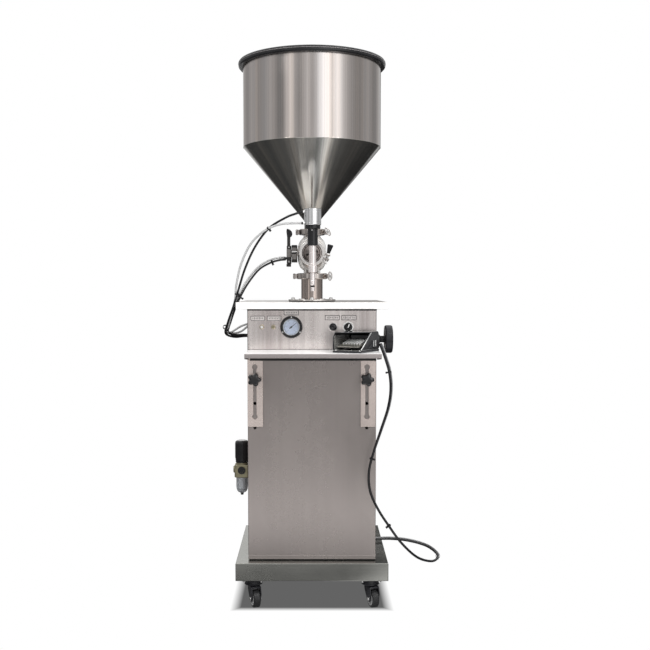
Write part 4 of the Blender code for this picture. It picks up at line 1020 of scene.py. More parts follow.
def make_valve():
    """The three-way valve: a polished barrel with a ferrule at its top, bottom and front."""
    box = Box("valve_body")
    stack = Box("material_cylinder")
    axis = (stack.x, stack.y, 0)
    rotor = Box("valve_rotor")
    low, high, middle = box.bottom, box.top, rotor.z
    wide = Box("lower_clamp").depth / 2 - 5.0
    narrow = Box("upper_clamp").depth / 2 - 5.0
    swell = spline([(24.0, 0, 955), (33.5, 0, 963), (39.0, 0, 976), (41.0, 0, 993), (41.0, 0, 1010), (39.4, 0, 1026),
                    (34.5, 0, 1039), (24.5, 0, 1050)], 4)
    lift = middle - 1003
    profile = [(0, low), (wide, low), (wide, low + 2.8), (24.6, low + 6), (24, low + 8)]
    profile += [(p.x, p.z + lift) for p in swell]
    profile += [(24, high - 7), (24.6, high - 5.7), (narrow, high - 2.8), (narrow, high), (0, high)]
    face = box.front
    port = [(0, stack.y - 20), (25.4, stack.y - 20), (25.4, face + 6), (narrow, face + 2.8), (narrow, face), (0, face)]
    piece("valve_barrel", "frame", "valve",
          [lathe(profile, axis, segments=96, edge=0.5),
           lathe(port, (stack.x, 0, middle), "Y", 72, edge=0.5)], ["valve_body"])
    plug = lathe([(0, -33.8), (20.4, -33.8), (20.4, 31.8), (0, 31.8)], (stack.x, stack.y, middle), "X", 56, edge=0.8)
    stem = lathe([(0, rotor.left), (5.9, rotor.left), (5.9, -34), (0, -34)], (0, stack.y, middle), "X", 32, edge=0.5)
    passage = slab(circle(13, 32, (stack.x, stack.y)), middle - 40, middle + 40, edge=0)
    piece("valve_plug", "valve_rotor", "polished", [plug, stem], ["valve_rotor"], cut=[passage])
    screws = []
    for x, z, lean in ((-24, 988, 40), (36, 978, -50), (22, 1014, 20)):
        bolt = lathe([(0, -8), (3.2, -8), (3.2, 5), (5.6, 5), (5.6, 11.5), (0, 12)], axis="Z", segments=24, edge=0.5)
        screws.append(moved(bolt, (x, stack.y - 40, z), (0, lean, 0)))
    piece("valve_drain_screws", "frame", "bright", screws)


def make_actuator():
    """The slim rotary actuator with its black end cap, on a stack of mounting plates."""
    box = Box("rotary_actuator")
    stack = Box("valve_rotor")
    left, right = box.left, box.left + 15
    front, back = box.y - 15, box.y + 15
    low = box.bottom
    body = block(left + 1, right - 1, front, back, low + 8, low + 60, corner=3, edge=1.2)
    foot = block(left, right - 2, front + 3, back - 3, low, low + 8, corner=4, edge=1.2)
    neck = block(left + 2, left + 11, front + 5, back - 5, low + 59, low + 88, corner=3, edge=1.0)
    piece("actuator_body", "frame", "actuator", [body, foot, neck], ["rotary_actuator"])
    # A lighter band round the dark body's middle: a painted sheen.
    band = block(left + 0.6, right - 0.6, front - 0.4, back + 0.4, low + 27, low + 50, corner=3, edge=0.8)
    piece("actuator_band", "frame", "actuator_grey", [band])
    hook = [(low + 84, left + 2), (low + 84, left + 10), (low + 88, left + 15), (low + 94, left + 17),
            (low + 101, left + 15.5), (low + 106, left + 10), (low + 109.5, left + 1), (low + 100, left)]
    piece("actuator_cap", "frame", "plastic", [slab(fillet(hook, 2.5), front + 4, back - 4, "Y", edge=2.0)])
    # The mounting stack's dark, grey and bright layers are painted shade, painted sheen and a painted highlight, in
    # bands.
    painted_light_layers = {"actuator": ((978, 986), (1001.5, 1006), (1020, 1027)), "actuator_grey": ((986.2, 1001.3), (1010, 1019.8)),
              "bright": ((1006.2, 1009.8),)}
    lift = stack.z - 1003
    for finish, spans in painted_light_layers.items():
        plates = [block(right + 0.2, box.right, box.y - 23, box.y + 23, a + lift, b + lift, corner=3, edge=0.6)
                  for a, b in spans]
        piece(f"actuator_mount_{finish}", "frame", finish, plates)
    ports = [lathe([(0, left - 6), (2.6, left - 6), (3.6, left - 4), (3.6, left + 1), (0, left + 1)],
                   (0, box.y + side * 7, low + 24), "X", 24, edge=0.4) for side in (-1, 1)]
    piece("actuator_ports", "frame", "plastic", ports)
    screws = []
    for z in (low + 14, low + 55):
        screws += socket_screw(((left + right) / 2, front - 0.2, z), "Y", 2.4, -1)
    piece("actuator_screws", "frame", "shaft", screws)


def make_hopper():
    """The spun hopper: straight wall, cone, neck with ferrule, and its rim in a rubber trim."""
    box = Box("hopper")
    axis = (box.x, box.y, 0)
    trim = Box("hopper_rim_trim")
    radius = box.width / 2 - 7.7
    shoulder = box.top - 232.0
    low = box.bottom
    neck = 22.0
    wall = [(radius - 2, box.top), (radius + 6.5, box.top), (radius + 6.5, box.top - 1.8), (radius, box.top - 2.4),
            (radius, shoulder + 1.2), (radius - 0.9, shoulder - 1.0), (radius - 2.2, shoulder - 1.0),
            (radius - 2, shoulder + 1)]
    cone = [(radius - 2.4, shoulder - 0.8), (radius - 0.6, shoulder - 0.8), (neck + 1.5, low + 33), (neck, low + 30),
            (neck, low + 6), (32, low + 2.8), (32, low), (neck - 2, low), (neck - 2, low + 34)]
    piece("hopper_wall", "frame", "hopper_wall", [lathe(wall, axis, segments=180)], ["hopper"], sharp=30)
    piece("hopper_cone", "frame", "hopper_cone", [lathe(cone, axis, segments=180)], sharp=30)
    bead = lathe([(radius - 0.6, shoulder - 1.3), (radius + 0.35, shoulder - 0.4), (radius + 0.35, shoulder + 0.5),
                  (radius - 0.6, shoulder + 1.2)], axis, segments=180, edge=0.3)
    seam_back = box.y + radius
    seam = tube([(box.x, seam_back - 0.3, shoulder + 2), (box.x, seam_back - 0.3, shoulder + 110),
                 (box.x, seam_back - 0.3, box.top - 4)], 1.1, 4, 10)
    piece("hopper_welds", "frame", "hopper_cone", [bead, seam])
    outer = trim.width / 2
    section = [(radius + 0.6, trim.bottom), (outer - 3.4, trim.bottom), (outer - 0.6, trim.bottom + 3), (outer, trim.bottom + 7),
               (outer, trim.top - 4), (outer - 2.2, trim.top - 0.8), (outer - 5, trim.top), (radius - 0.2, trim.top),
               (radius - 0.2, box.top + 0.3), (radius + 7.0, box.top + 0.3), (radius + 7.0, box.top - 2.2),
               (radius + 0.6, box.top - 2.4)]
    piece("hopper_trim", "frame", "trim", [lathe(section, axis, segments=180, edge=0.9)], ["hopper_rim_trim"])
    # A lighter ring round the black rim trim: a painted highlight.
    line = [(outer - 0.4, trim.bottom + 8.3), (outer + 0.25, trim.bottom + 8.6), (outer + 0.25, trim.bottom + 9.6),
            (outer - 0.4, trim.bottom + 9.9)]
    piece("hopper_trim_line", "frame", "trim_line", [lathe(line, axis, segments=180)])


# ---------------------------------------------------------------- clamps and nozzle

def clamp_shapes(ferrule, lug, pin):
    """A hinged pipe clamp round two ferrules, its ring's axis along Z, hinge at -X and bolt along Y."""
    outer = ferrule + 5
    profile = [(ferrule - 4, -8.5), (outer - 2, -8.5), (outer, -6.6), (outer, 6.6), (outer - 2, 8.5),
               (ferrule - 4, 8.5), (ferrule - 4, 7.2), (ferrule + 0.5, 5.4), (ferrule + 0.5, -5.4), (ferrule - 4, -7.2)]
    ring = [lathe(profile, segments=72, edge=0.9)]
    split = block(ferrule - 8, outer + 8, -1.4, 1.4, -12, 12, 0.1, 0)
    ears = [block(outer - 3, outer + 15, side * 6 - 2.6, side * 6 + 2.6, -6.5, 6.5, corner=1.6, edge=0.8) for side in (-1, 1)]
    lugs = [slab(fillet([(-outer - lug, -6), (-outer + 3, -7.5), (-outer + 3, 7.5), (-outer - lug, 6)], 3.5), low, high,
                 edge=0.8) for low, high in ((-6.8, -2.6), (-2.2, 2.2), (2.6, 6.8))]
    pins = [lathe([(0, -8.4), (2.6, -8.0), (2.6, 8.0), (0, 8.4)], (-outer - lug + 4, 0, 0), segments=20, edge=0.4)]
    bolt = [slab(circle(3.3, 24, (0, outer + 8)), -30 if pin else -33, 11, "Y", edge=0.4),
            lathe([(0, 8.7), (5.2, 8.7), (5.2, 12.4), (0, 13)], (outer + 8, 0, 0), "Y", 28, edge=0.7)]
    return ring, split, ears + lugs, pins + bolt


def make_clamp(node, name, lug, turn):
    """One clamp with its hinge pin and swing bolt, replacing its node."""
    box = Box(node)
    upright = turn[0] == 0
    if upright:
        ferrule = joint_radius(box)
        at = (0, Box("material_cylinder").y, box.z)
    else:
        ferrule = joint_radius(Box("upper_clamp"))
        at = (0, box.y, Box("valve_rotor").z)
    ring, split, lugs, pins = clamp_shapes(ferrule, lug, upright)
    # The front clamp's ring takes the lighter ring finish, a painted highlight; the upright clamps keep the clamp
    # finish.
    piece(f"{name}_ring", "frame", "clamp" if upright else "ring", [moved(s, at, turn) for s in ring], [node], cut=[moved(split, at, turn)])
    piece(f"{name}_lugs", "frame", "clamp", [moved(s, at, turn) for s in lugs])
    piece(f"{name}_bolt", "frame", "shaft", [moved(s, at, turn) for s in pins])
    return at, ferrule + 13


def make_clamps():
    """The three pipe clamps: two with wing nuts, and the outlet's with a tapered black knob."""
    for place, lug, lean in (("upper", 10, -35), ("lower", 11, 0)):
        at, reach = make_clamp(f"{place}_clamp", f"{place}_clamp", lug, (0, 0, 0))
        nut = (at[0] + reach, at[1], at[2])
        barrel = lathe([(3.5, -9.3), (6.5, -9.3), (6.5, -22), (4.8, -29), (3.5, -29)], axis="Y", segments=32, edge=0.7)
        wings = slab(oval(13.4, 6.3, lean), -28.4, -24.4, "Y", edge=1.2)
        # A darker frame round the bright wings: painted shade on their edges.
        rims = slab(oval(13.4, 6.3, lean), -29.2, -23.8, "Y", edge=0.8, holes=[oval(11.2, 4.2, lean)])
        piece(f"{place}_wing_nut_body", f"{place}_nut", "bright", [moved(s, nut) for s in (barrel, wings)],
              [f"{place}_wing_nut"])
        piece(f"{place}_wing_nut_rim", f"{place}_nut", "clamp", [moved(rims, nut)])
    at, reach = make_clamp("front_clamp", "front_clamp", 5, (-90, FRONT_CLAMP_LEAN, 0))
    lean = math.radians(FRONT_CLAMP_LEAN)
    nut = (at[0] + reach * math.cos(lean), at[1], at[2] - reach * math.sin(lean))
    turn = (0, FRONT_CLAMP_LEAN, 0)
    knob = lathe([(3.8, 10.6), (4.6, 10.6), (5.4, 17), (8.4, 33), (7.6, 36), (3.8, 36)], segments=36, edge=0.9)
    tip = lathe([(0, 32.5), (4.2, 32.5), (4.2, 35.4), (0, 35.8)], segments=24, edge=0.5)
    flutes = [moved(block(-0.9, 0.9, 7.0, 9.4, 16, 34, 0.6, 0.4), turn=(0, 0, 30 * i)) for i in range(12)]
    collar = lathe([(3.6, 6.4), (6.6, 6.4), (6.6, 10.4), (3.6, 10.4)], segments=32, edge=0.6)
    piece("front_clamp_knob", "front_nut", "plastic", [moved(s, nut, turn) for s in [knob, tip]],
          ["front_clamp_nut"], cut=[moved(s, nut, turn) for s in flutes])
    piece("front_clamp_collar", "front_nut", "seal", [moved(collar, nut, turn)])


def make_outlet():
    """The reducing bend from the valve's front port to the nozzle."""
    box = Box("outlet_pipe")
    nozzle, body = Box("nozzle_rod"), Box("nozzle_body")
    face = box.back
    middle = Box("valve_rotor").z
    ferrule = joint_radius(Box("upper_clamp"))
    cone = [(0, face), (ferrule, face), (ferrule, face - 2.8), (24, face - 5.7), (24, face - 8), (9.5, face - 38),
            (9, face - 40), (0, face - 40)]
    end = nozzle.y + body.width / 2 - 1.2
    outlet = 990.0 + middle - 1003
    bend = tube([(0, face - 30, middle), (0, face - 45, middle - 2), (1, face - 62, (middle + outlet) / 2 - 3),
                 (nozzle.x, end + 14, outlet), (nozzle.x, end, outlet)], 8.2, 6, 28)
    weld = lathe([(8.2, end + 1.2), (9.6, end - 0.2), (9.6, end - 1.4), (8.2, end - 2.4)], (nozzle.x, 0, outlet), "Y",
                 36, edge=0.6)
    # The outlet finish paints this bend darker: painted shade.
    piece("outlet_bend", "frame", "outlet", [lathe(cone, (0, 0, middle), "Y", 72, edge=0.6), bend, weld],
          ["outlet_pipe"])


def make_nozzle():
    """The shut-off nozzle: stepped stem, black spacer, bright air cylinder with its push-in fittings."""
    rod, body, spacer, cylinder = (Box(name) for name in ("nozzle_rod", "nozzle_body", "nozzle_spacer",
                                                          "nozzle_air_cylinder"))
    axis = (rod.x, rod.y, 0)
    tip = body.bottom
    stem = [(4.6, tip), (5.6, tip), (5.6, tip + 9), (5.0, tip + 10), (5.0, tip + 15), (6.9, tip + 17.5), (6.9, tip + 26),
            (7.3, tip + 26.8), (7.3, tip + 28), (6.9, tip + 28.8), (6.9, tip + 49), (12, tip + 50.5), (12, tip + 69),
            (10.0, tip + 71), (9.8, tip + 72.4), (10.3, tip + 73.2), (10.3, tip + 74.4), (9.8, tip + 75.2),
            (9.8, tip + 103), (9.3, tip + 103.6), (9.3, tip + 104.8), (9.8, tip + 105.4), (9.8, body.top),
            (4.6, body.top)]
    piece("nozzle_stem", "frame", "nozzle", [lathe(stem, axis, segments=64, edge=0.4)], ["nozzle_body"])
    band = [(5.05, tip + 10.3), (5.6, tip + 10.8), (5.6, tip + 14.6), (5.05, tip + 15)]
    piece("nozzle_tip_ring", "frame", "rubber", [lathe(band, axis, segments=40, edge=0.2)])
    low, high = spacer.bottom, spacer.top
    sleeve = [(4.4, low), (13.2, low), (14, low + 1.2), (14, high - 12), (15, high - 10.4), (19.6, high - 10.2),
              (21, high - 8.6), (21, high - 0.8), (20.4, high), (4.4, high)]
    piece("nozzle_collar", "frame", "plastic", [lathe(sleeve, axis, segments=64, edge=0.5)], ["nozzle_spacer"])
    screws = []
    for angle in (262, 142, 22):
        x = rod.x + 13.6 * math.cos(math.radians(angle))
        y = rod.y + 13.6 * math.sin(math.radians(angle))
        dot = lathe([(0, -1.2), (1.5, -1.2), (1.9, 0), (1.6, 1.0), (0, 1.3)], axis="X", segments=20, edge=0.2)
        screws.append(moved(dot, (x, y, high - 14), (0, 0, angle)))
    piece("nozzle_screws", "frame", "bright", screws)
    radius = cylinder.back - rod.y
    low, high = cylinder.bottom, cylinder.top
    can = [(0, high - 0.2), (radius - 4, high - 0.2), (radius - 3.4, high), (radius - 1.4, high), (radius, high - 1.4),
           (radius, high - 6), (radius - 0.5, high - 6.4), (radius - 0.5, high - 7.4), (radius, high - 7.8),
           (radius, low + 7.6), (radius - 0.5, low + 7.2), (radius - 0.5, low + 6.2), (radius, low + 5.8),
           (radius, low + 1), (radius - 1, low), (4.4, low), (4.4, low + 3), (radius - 5, low + 3), (radius - 5, high - 5),
           (0, high - 5)]
    piece("nozzle_cylinder", "frame", "nozzle_can", [lathe(can, axis, segments=72, edge=0.3)], ["nozzle_air_cylinder"])
    fittings, sleeves = [], []
    for z in (low + 5, high - 8):
        left = rod.x - radius
        fittings.append(lathe([(0, left + 2), (3.6, left + 2), (3.6, left - 3), (0, left - 3)], (0, rod.y, z), "X", 6,
                              edge=0.2))
        sleeves.append(lathe([(2.1, left - 2.8), (3.5, left - 2.8), (3.5, left - 7.4), (2.1, left - 7.4)],
                             (0, rod.y, z), "X", 28, edge=0.4))
    piece("nozzle_fitting_nuts", "frame", "bright", fittings)
    piece("nozzle_fitting_sleeves", "frame", "plastic", sleeves)
    plunger = [(0, rod.bottom), (3.4, rod.bottom), (4.2, rod.bottom + 1.4), (4.2, rod.bottom + 8), (3, rod.bottom + 10),
               (3, rod.top - 8), (17.4, rod.top - 8), (17.4, rod.top), (0, rod.top)]
    piece("nozzle_plunger", "nozzle_rod", "shaft", [lathe(plunger, axis, segments=32, edge=0.3)], ["nozzle_rod"])


# ---------------------------------------------------------------- handwheel, platform, star knobs

def make_handwheel():
    """The dished handwheel, and the bushing its shaft runs in."""
    box = Box("handwheel")
    at = (0, box.y, box.z)
    right = box.right
    radius = box.height / 2
    wheel = [(6.2, box.left), (11.4, box.left), (12.5, box.left + 1), (12.5, box.left + 11), (9.6, box.left + 13),
             (9.6, right - 23), (14, right - 20), (radius - 7, right - 22), (radius - 2, right - 22.5),
             (radius, right - 19), (radius, right - 4.5), (radius - 2, right - 1), (radius - 6, right),
             (radius - 9.5, right - 1.2), (radius - 12, right - 6.5), (14, right - 6.5), (12, right - 2), (6.2, right - 2)]
    piece("handwheel_rim", "handwheel", "satin", [lathe(wheel, at, "X", 72, edge=1.2)], ["handwheel"])
    wall = Box("cabinet_shell").right
    bush = [(6.3, wall - 5), (6.8, wall - 5), (6.8, wall + 0.1), (10.5, wall + 0.1), (10.5, wall + 2.2), (6.3, wall + 2.2)]
    piece("handwheel_bushing", "frame", "bright", [lathe(bush, at, "X", 36, edge=0.4)])


def make_platform():
    """The platform tray: its front folded down and hemmed, with a gusset under each end."""
    box = Box("platform_tray")
    top, lip = box.top, box.top - 12.5
    profile = [(box.back, top), (box.front, top), (box.front, lip), (box.front + 5, lip), (box.front + 5, lip + 1.4),
               (box.front + 1.8, lip + 1.4), (box.front + 1.8, top - 1.9), (box.back, top - 1.9)]
    tray = slab(fillet(profile, 1.8, 4), box.left, box.right, "X", edge=0.4)
    gusset = [(box.front + 5, lip + 3), (box.back, lip + 3), (box.back, box.bottom), (box.front + 5, lip - 2.6)]
    gussets = [slab(fillet(gusset, 2.0), low, low + 1.9, "X", edge=0.3)
               for low in (box.left, box.right - 1.9)]
    piece("platform_sheet", "platform", "platform", [tray] + gussets, ["platform_tray"])
    # A dark strip at the tray's rear bottom edge, against the cabinet: painted shadow under the platform.
    seal = block(box.left + 4, box.right - 4, box.back - 2.6, box.back + 0.1, box.bottom - 2.5, box.bottom + 4.5, 0.6, 0.5)
    flange = block(box.left + 4, box.right - 4, box.back - 2.0, box.back, box.bottom + 4, top - 2, 0.4, 0.2)
    piece("platform_rear_flange", "platform", "shaft", [flange])
    piece("platform_rear_seal", "platform", "gap", [seal])
    welds = []
    for x in (box.left + 3, box.right - 3):
        points = [(x, y, top - 2.6) for y in (box.front + 9, box.y, box.back - 3)]
        welds.append(tube(points, 1.2, 3, 8))
    piece("platform_welds", "platform", "shaft", welds)
    for side in ("left", "right"):
        make_bracket(side)


def keyhole(x, low, high, half=4.7, eye=7.75, steps=14):
    """A narrow slot with a round eye at each end, as (Z, X) points."""
    neck = math.asin(half / eye)
    points = []
    for centre, facing in ((low, math.pi), (high, 0.0)):
        for i in range(steps + 1):
            angle = facing - math.pi + neck + (2 * math.pi - 2 * neck) * i / steps
            points.append((centre + eye * math.cos(angle), x + eye * math.sin(angle)))
    return points


def make_bracket(side):
    """One flat strip that slides on its star knob's stud."""
    box = Box(f"{side}_bracket")
    x = knob_axis(Box(f"{side}_star_knob"))
    outline = fillet(rectangle(box.bottom, box.top, box.left, box.right), 1.5)
    hole = keyhole(x, box.bottom + SLOT_FOOT, box.bottom + SLOT_HEAD)
    strip = slab(outline, box.front, box.back, "Y", edge=0.5, holes=[hole])
    piece(f"{side}_bracket_strip", "platform", "bracket", [strip], [f"{side}_bracket"])


def lobed(radius, depth, lobes=5, count=80):
    """The outline of a knob with rounded lobes."""
    points = []
    for i in range(count):
        angle = 2 * math.pi * i / count
        reach = radius - depth * (0.5 - 0.5 * math.cos(lobes * angle)) ** 1.5
        points.append((reach * math.cos(angle), reach * math.sin(angle)))
    return points


def make_star_knobs():
    """Glossy five-lobed knobs with a domed face, each on a steel stud."""
    for side in ("left", "right"):
        box = Box(f"{side}_star_knob")
        x = knob_axis(box)
        face = Box(f"{side}_bracket").front
        levels = [(9.0, -24.6), (12.5, -24.4), (15.5, -23.7), (17.8, -22.3), (19.1, -20.3), (19.6, -17.6), (19.6, -13.2),
                  (19.0, -11.2), (17.6, -9.9), (14, -9.0), (10.4, -8.4), (9.2, -6), (8.6, -0.8)]
        rings = []
        for radius, y in levels:
            depth = 0.27 * radius if radius > 12 else 0.05 * radius
            rings.append([(x + a, face + y, STUD_HEIGHT + b) for a, b in lobed(radius, depth)])
        piece(f"{side}_knob_grip", f"{side}_knob", "gloss", [skin(rings)], [f"{side}_star_knob"], sharp=50)
        stud = lathe([(0, face - 4), (3.9, face - 4), (3.9, box.back - 0.6), (3.3, box.back), (0, box.back)],
                     (x, 0, STUD_HEIGHT), "Y", 24, edge=0.3)
        piece(f"{side}_knob_stud", f"{side}_knob", "shaft", [stud])


# ---------------------------------------------------------------- foot pedal

def pedal_wedge(side, half, height):
    """The wedge that cuts the hood back: tall on its right, and small at its left front corner."""
    big_end = [(side + 5, -half - 9, -4), (side + 5, 82 - half, height + 6), (side + 5, -half - 9, height + 6)]
    small_end = [(9 - side, -half - 3, height - 6), (9 - side, 14 - half, height + 6),
                 (9 - side, -half - 3, height + 6)]
    return skin([big_end, small_end])


def make_pedal():
    """The foot valve: dark base and valve, a bent hood open at the front, and a ribbed treadle."""
    at = (*PEDAL_CENTRE, Box("pedal_base").bottom)
    turn = (0, 0, PEDAL_TURN)
    half, side, height = 63.0, 42.0, 54.0
    base = [block(-side, side, -half, half, 0, 4.8, 4, 0.8), block(-30, 30, half - 33, half - 7, 4.5, 43.5, 3, 1.5)]
    screws = [s for x in (-35, 35) for s in socket_screw((x, 8 - half, 4.6), "Z", 2.8, 1)]
    piece("pedal_plate", "platform", "dark", [moved(s, at, turn) for s in base], ["pedal_base"])
    piece("pedal_plate_screws", "platform", "bright", [moved(s, at, turn) for s in screws])
    outer = fillet([(1 - half, 5.4), (half - 1, 5.4), (half, 38), (half - 9, height), (15 - half, height),
                    (4 - half, height - 12)], 7.0, 5)
    inner = [(y, z) for y, z in fillet([(-half - 12, 2), (half - 3, 2), (half - 2, 37.4), (half - 9.8, height - 2),
                                        (-half - 12, height - 2)], 5.0, 5)]
    hood = slab(outer, -side, side, "X", edge=1.6)
    hollow = slab(inner, 1.9 - side, side - 1.9, "X", edge=0)
    wedge = pedal_wedge(side, half, height)
    piece("pedal_cover", "platform", "dark", [moved(hood, at, turn)], ["pedal_hood"],
          cut=[moved(hollow, at, turn)], sharp=30)
    cover = bpy.data.objects["pedal_cover"]
    carved(cover, [moved(wedge, at, turn)])
    cover.data.shade_smooth()
    cover.data.set_sharp_from_angle(angle=math.radians(30))
    # Two white marks on the hood's right wall, and white rods along its side and roof edges, which are a painted
    # highlight.
    slots = [slab(fillet(rectangle(y, y + 4.5, 13, 30), 2.2), side + 0.02, side + 0.45, "X", edge=0.1)
             for y in (20, 33)]
    rim = [tube([(side - 0.9, 3 - half, 8), (side - 0.9, 35 - half, 29), (side - 0.9, 69 - half, height - 2)], 1.3, 6, 10),
           tube([(side - 3, 71 - half, height - 0.9), (0, 46 - half, height - 0.9), (12 - side, 19 - half, height - 0.9)],
                0.8, 6, 10)]
    piece("pedal_cover_edges", "platform", "marks_and_edge_highlight", [moved(s, at, turn) for s in slots + rim])
    hinge_y, hinge_z = TREADLE_HINGE
    pivot = Vector(at) + Matrix.Rotation(math.radians(PEDAL_TURN), 3, "Z") @ Vector((0, hinge_y, hinge_z))
    slope = 0.222
    tread = fillet([(-74, -16.5), (-74, -13.2), (-4, 2.4), (4, 2.8), (4, -3), (-1, -3)], 1.4)
    piece("treadle_plate", "treadle", "tread", [moved(slab(tread, -32, 32, "X", edge=0.7), pivot, turn)],
          ["pedal_treadle"])
    ribs, valleys = [], []
    near, far = -52, -8
    for i in range(7):
        middle = 8.0 * i - 24.0
        ribs.append(slab([(near, 2.2 + near * slope), (far, 2.2 + far * slope), (far, 6.0 + far * slope),
                          (near, 6.0 + near * slope)], middle - 1.5, middle + 1.5, "X", edge=0.6))
        valleys.append(slab([(near, 1.8 + near * slope), (far, 1.8 + far * slope), (far, 3.6 + far * slope),
                             (near, 3.6 + near * slope)], middle + 1.6, middle + 6.4, "X", edge=0.1))
    piece("treadle_ribs", "treadle", "rib", [moved(s, pivot, turn) for s in ribs])
    # Dark strips between the ribs: painted shade in the treadle's grooves.
    piece("treadle_grooves", "treadle", "dark", [moved(s, pivot, turn) for s in valleys])
    # Light sheets on the hood's inner left wall and floor: a painted reflection inside the dark hood.
    lining = [block(2.1 - side, 2.7 - side, 9 - half, half - 12, 7, height - 9, 0.3, 0.2),
              block(3 - side, side - 3, 10 - half, 42 - half, 5.0, 6.2, 2, 0.3)]
    piece("pedal_lining", "platform", "lining", [moved(s, at, turn) for s in lining])
    pin = lathe([(0, 2.2 - side), (2.2, 2.2 - side), (2.2, side - 2.2), (0, side - 2.2)], axis="X", segments=20,
                edge=0.3)
    piece("treadle_pin", "platform", "shaft", [moved(pin, pivot, turn)])


# ---------------------------------------------------------------- filter and hoses

def make_filter():
    """The filter and regulator: ribbed knob, cast body with ports and a drain, and a clear bowl."""
    knob, body, bowl = Box("regulator_knob"), Box("regulator_body"), Box("filter_bowl")
    axis = (knob.x, knob.y, 0)
    low, high = knob.bottom, knob.top
    radius = knob.width / 2
    grip = [(0, low), (radius - 2, low), (radius - 1, low + 1.2), (radius - 1, low + 6), (radius - 0.2, low + 7.4),
            (radius - 0.2, high - 9), (radius - 1.2, high - 4), (radius - 5, high - 1.4), (0, high - 1)]
    ribs = []
    for i in range(28):
        rib = block(-0.9, 0.9, radius - 1.4, radius + 0.1, low + 8, high - 10, 0.5, 0.5)
        ribs.append(moved(rib, axis, (0, 0, 360 * i / 28)))
    piece("regulator_grip", "regulator", "plastic", [lathe(grip, axis, segments=72, edge=1.2)] + ribs,
          ["regulator_knob"])
    dome = [(0, high - 1.4), (12.6, high - 1.4), (13.4, high - 0.6), (11.8, high), (0, high + 0.2)]
    piece("regulator_cap", "regulator", "dome", [lathe(dome, axis, segments=48, edge=0.4)])
    port_z = (body.bottom + 395) / 2
    middle = (knob.x, knob.y, port_z)
    front = knob.y - 20
    half = 21.0
    shell = [block(knob.x - half, knob.x + half, front, knob.y + 20, port_z - 21.5, port_z + 16, 7, 2.2),
             lathe([(0, port_z + 14), (17.6, port_z + 14), (16.6, port_z + 21), (0, port_z + 21)], axis, segments=48, edge=1.0),
             lathe([(0, -half - 4), (9, -half - 4), (10, -half - 2.6), (10, -half + 3), (0, -half + 3)], middle, "X", 40, edge=0.7)]
    ports = lathe([(6.4, -20 - 3.2), (11, -20 - 3.2), (11.4, -20 - 1), (11.4, -17), (6.4, -17)], middle, "Y", 40, edge=0.5)
    piece("regulator_casting", "frame", "brass", shell, ["regulator_body"])
    collar = [(0, low - 5.6), (17, low - 5.6), (18.6, low - 4.6), (18.6, low - 0.6), (0, low - 0.6)]
    plug = lathe([(0, -20 - 1.6), (6.6, -20 - 1.6), (6.6, -17), (0, -17)], middle, "Y", 6, edge=0.4)
    piece("regulator_collar", "frame", "plastic", [lathe(collar, axis, segments=56, edge=0.6), ports, plug])
    nipple = lathe([(0, knob.x + half - 1), (7, knob.x + half - 1), (7, -181.4), (0, -181.4)], (0, knob.y, port_z), "X", 24,
                   edge=0.3)
    lock = slab(circle(10.5, 6, (knob.y, port_z)), -185.6, -181.3, "X", edge=0.6)
    piece("regulator_nipple", "frame", "nickel", [nipple, lock])
    top = bowl.top
    glass = [(4.2, bowl.bottom + 6), (10.6, bowl.bottom + 8.5), (14.6, bowl.bottom + 13), (16.4, bowl.bottom + 19),
             (17, bowl.bottom + 26), (17, top), (15, top), (15, bowl.bottom + 27), (14.4, bowl.bottom + 20),
             (12.8, bowl.bottom + 15), (9.8, bowl.bottom + 11), (4.2, bowl.bottom + 8.4)]
    piece("filter_glass", "frame", "bowl", [lathe(glass, axis, segments=56, edge=0.4)], ["filter_bowl"])
    drain = [(0, bowl.bottom), (3.2, bowl.bottom), (4.2, bowl.bottom + 1), (4.2, bowl.bottom + 5), (5.6, bowl.bottom + 6),
             (5.6, bowl.bottom + 8.2), (4, bowl.bottom + 9.6), (0, bowl.bottom + 9.6)]
    element = [(0, bowl.bottom + 18), (9, bowl.bottom + 18), (9, top - 8), (11, top - 7), (11, top - 1), (0, top - 1)]
    piece("filter_drain", "frame", "plastic", [lathe(drain, axis, segments=32, edge=0.4)])
    piece("filter_element", "frame", "seal", [lathe(element, axis, segments=40, edge=0.8)])


NOZZLE_HOSE = [(-26, -250, 1110), (-46, -247, 1104), (-72, -243, 1094), (-118, -228, 1066), (-157, -204, 1017),
               (-187, -182, 956), (-207, -163, 897), (-222, -149, 852), (-240, -125, 806), (-249, -100, 774),
               (-228, -72, 762), (-200, -61, 763), (-180, -60, 764)]
NOZZLE_RETURN = [(-27, -250, 1079), (-56, -246, 1079), (-89, -240, 1076), (-128, -226, 1061), (-168, -206, 1026),
                 (-197, -186, 970), (-212, -168, 912), (-217, -154, 872), (-232, -128, 816), (-243, -104, 782),
                 (-235, -82, 776), (-208, -66, 792), (-180, -60, 802)]
ACTUATOR_HOSE = [(-76, -88, 986), (-94, -92, 984), (-120, -100, 976), (-152, -115, 956), (-183, -136, 915),
                 (-203, -150, 878), (-216, -146, 850), (-233, -122, 806), (-242, -100, 780), (-228, -78, 768),
                 (-202, -64, 768), (-180, -60, 767)]
ACTUATOR_RETURN = [(-76, -74, 992), (-96, -80, 991), (-124, -90, 983), (-157, -107, 961), (-189, -129, 919),
                   (-208, -144, 880), (-222, -140, 852), (-238, -116, 806), (-246, -94, 778), (-230, -74, 772),
                   (-206, -64, 778), (-180, -60, 800)]
PEDAL_HOSE = [(186, -236, 752), (197, -246, 722), (211, -250, 675), (215, -250, 626), (208, -247, 575), (190, -239, 515),
              (170, -232, 450), (158, -228, 395), (162, -224, 340), (184, -220, 289), (215, -214, 240), (252, -204, 188),
              (300, -180, 140), (352, -110, 108), (379, -25, 100), (355, 28, 112), (300, 32, 128), (240, 20, 138),
              (184, 10, 139)]


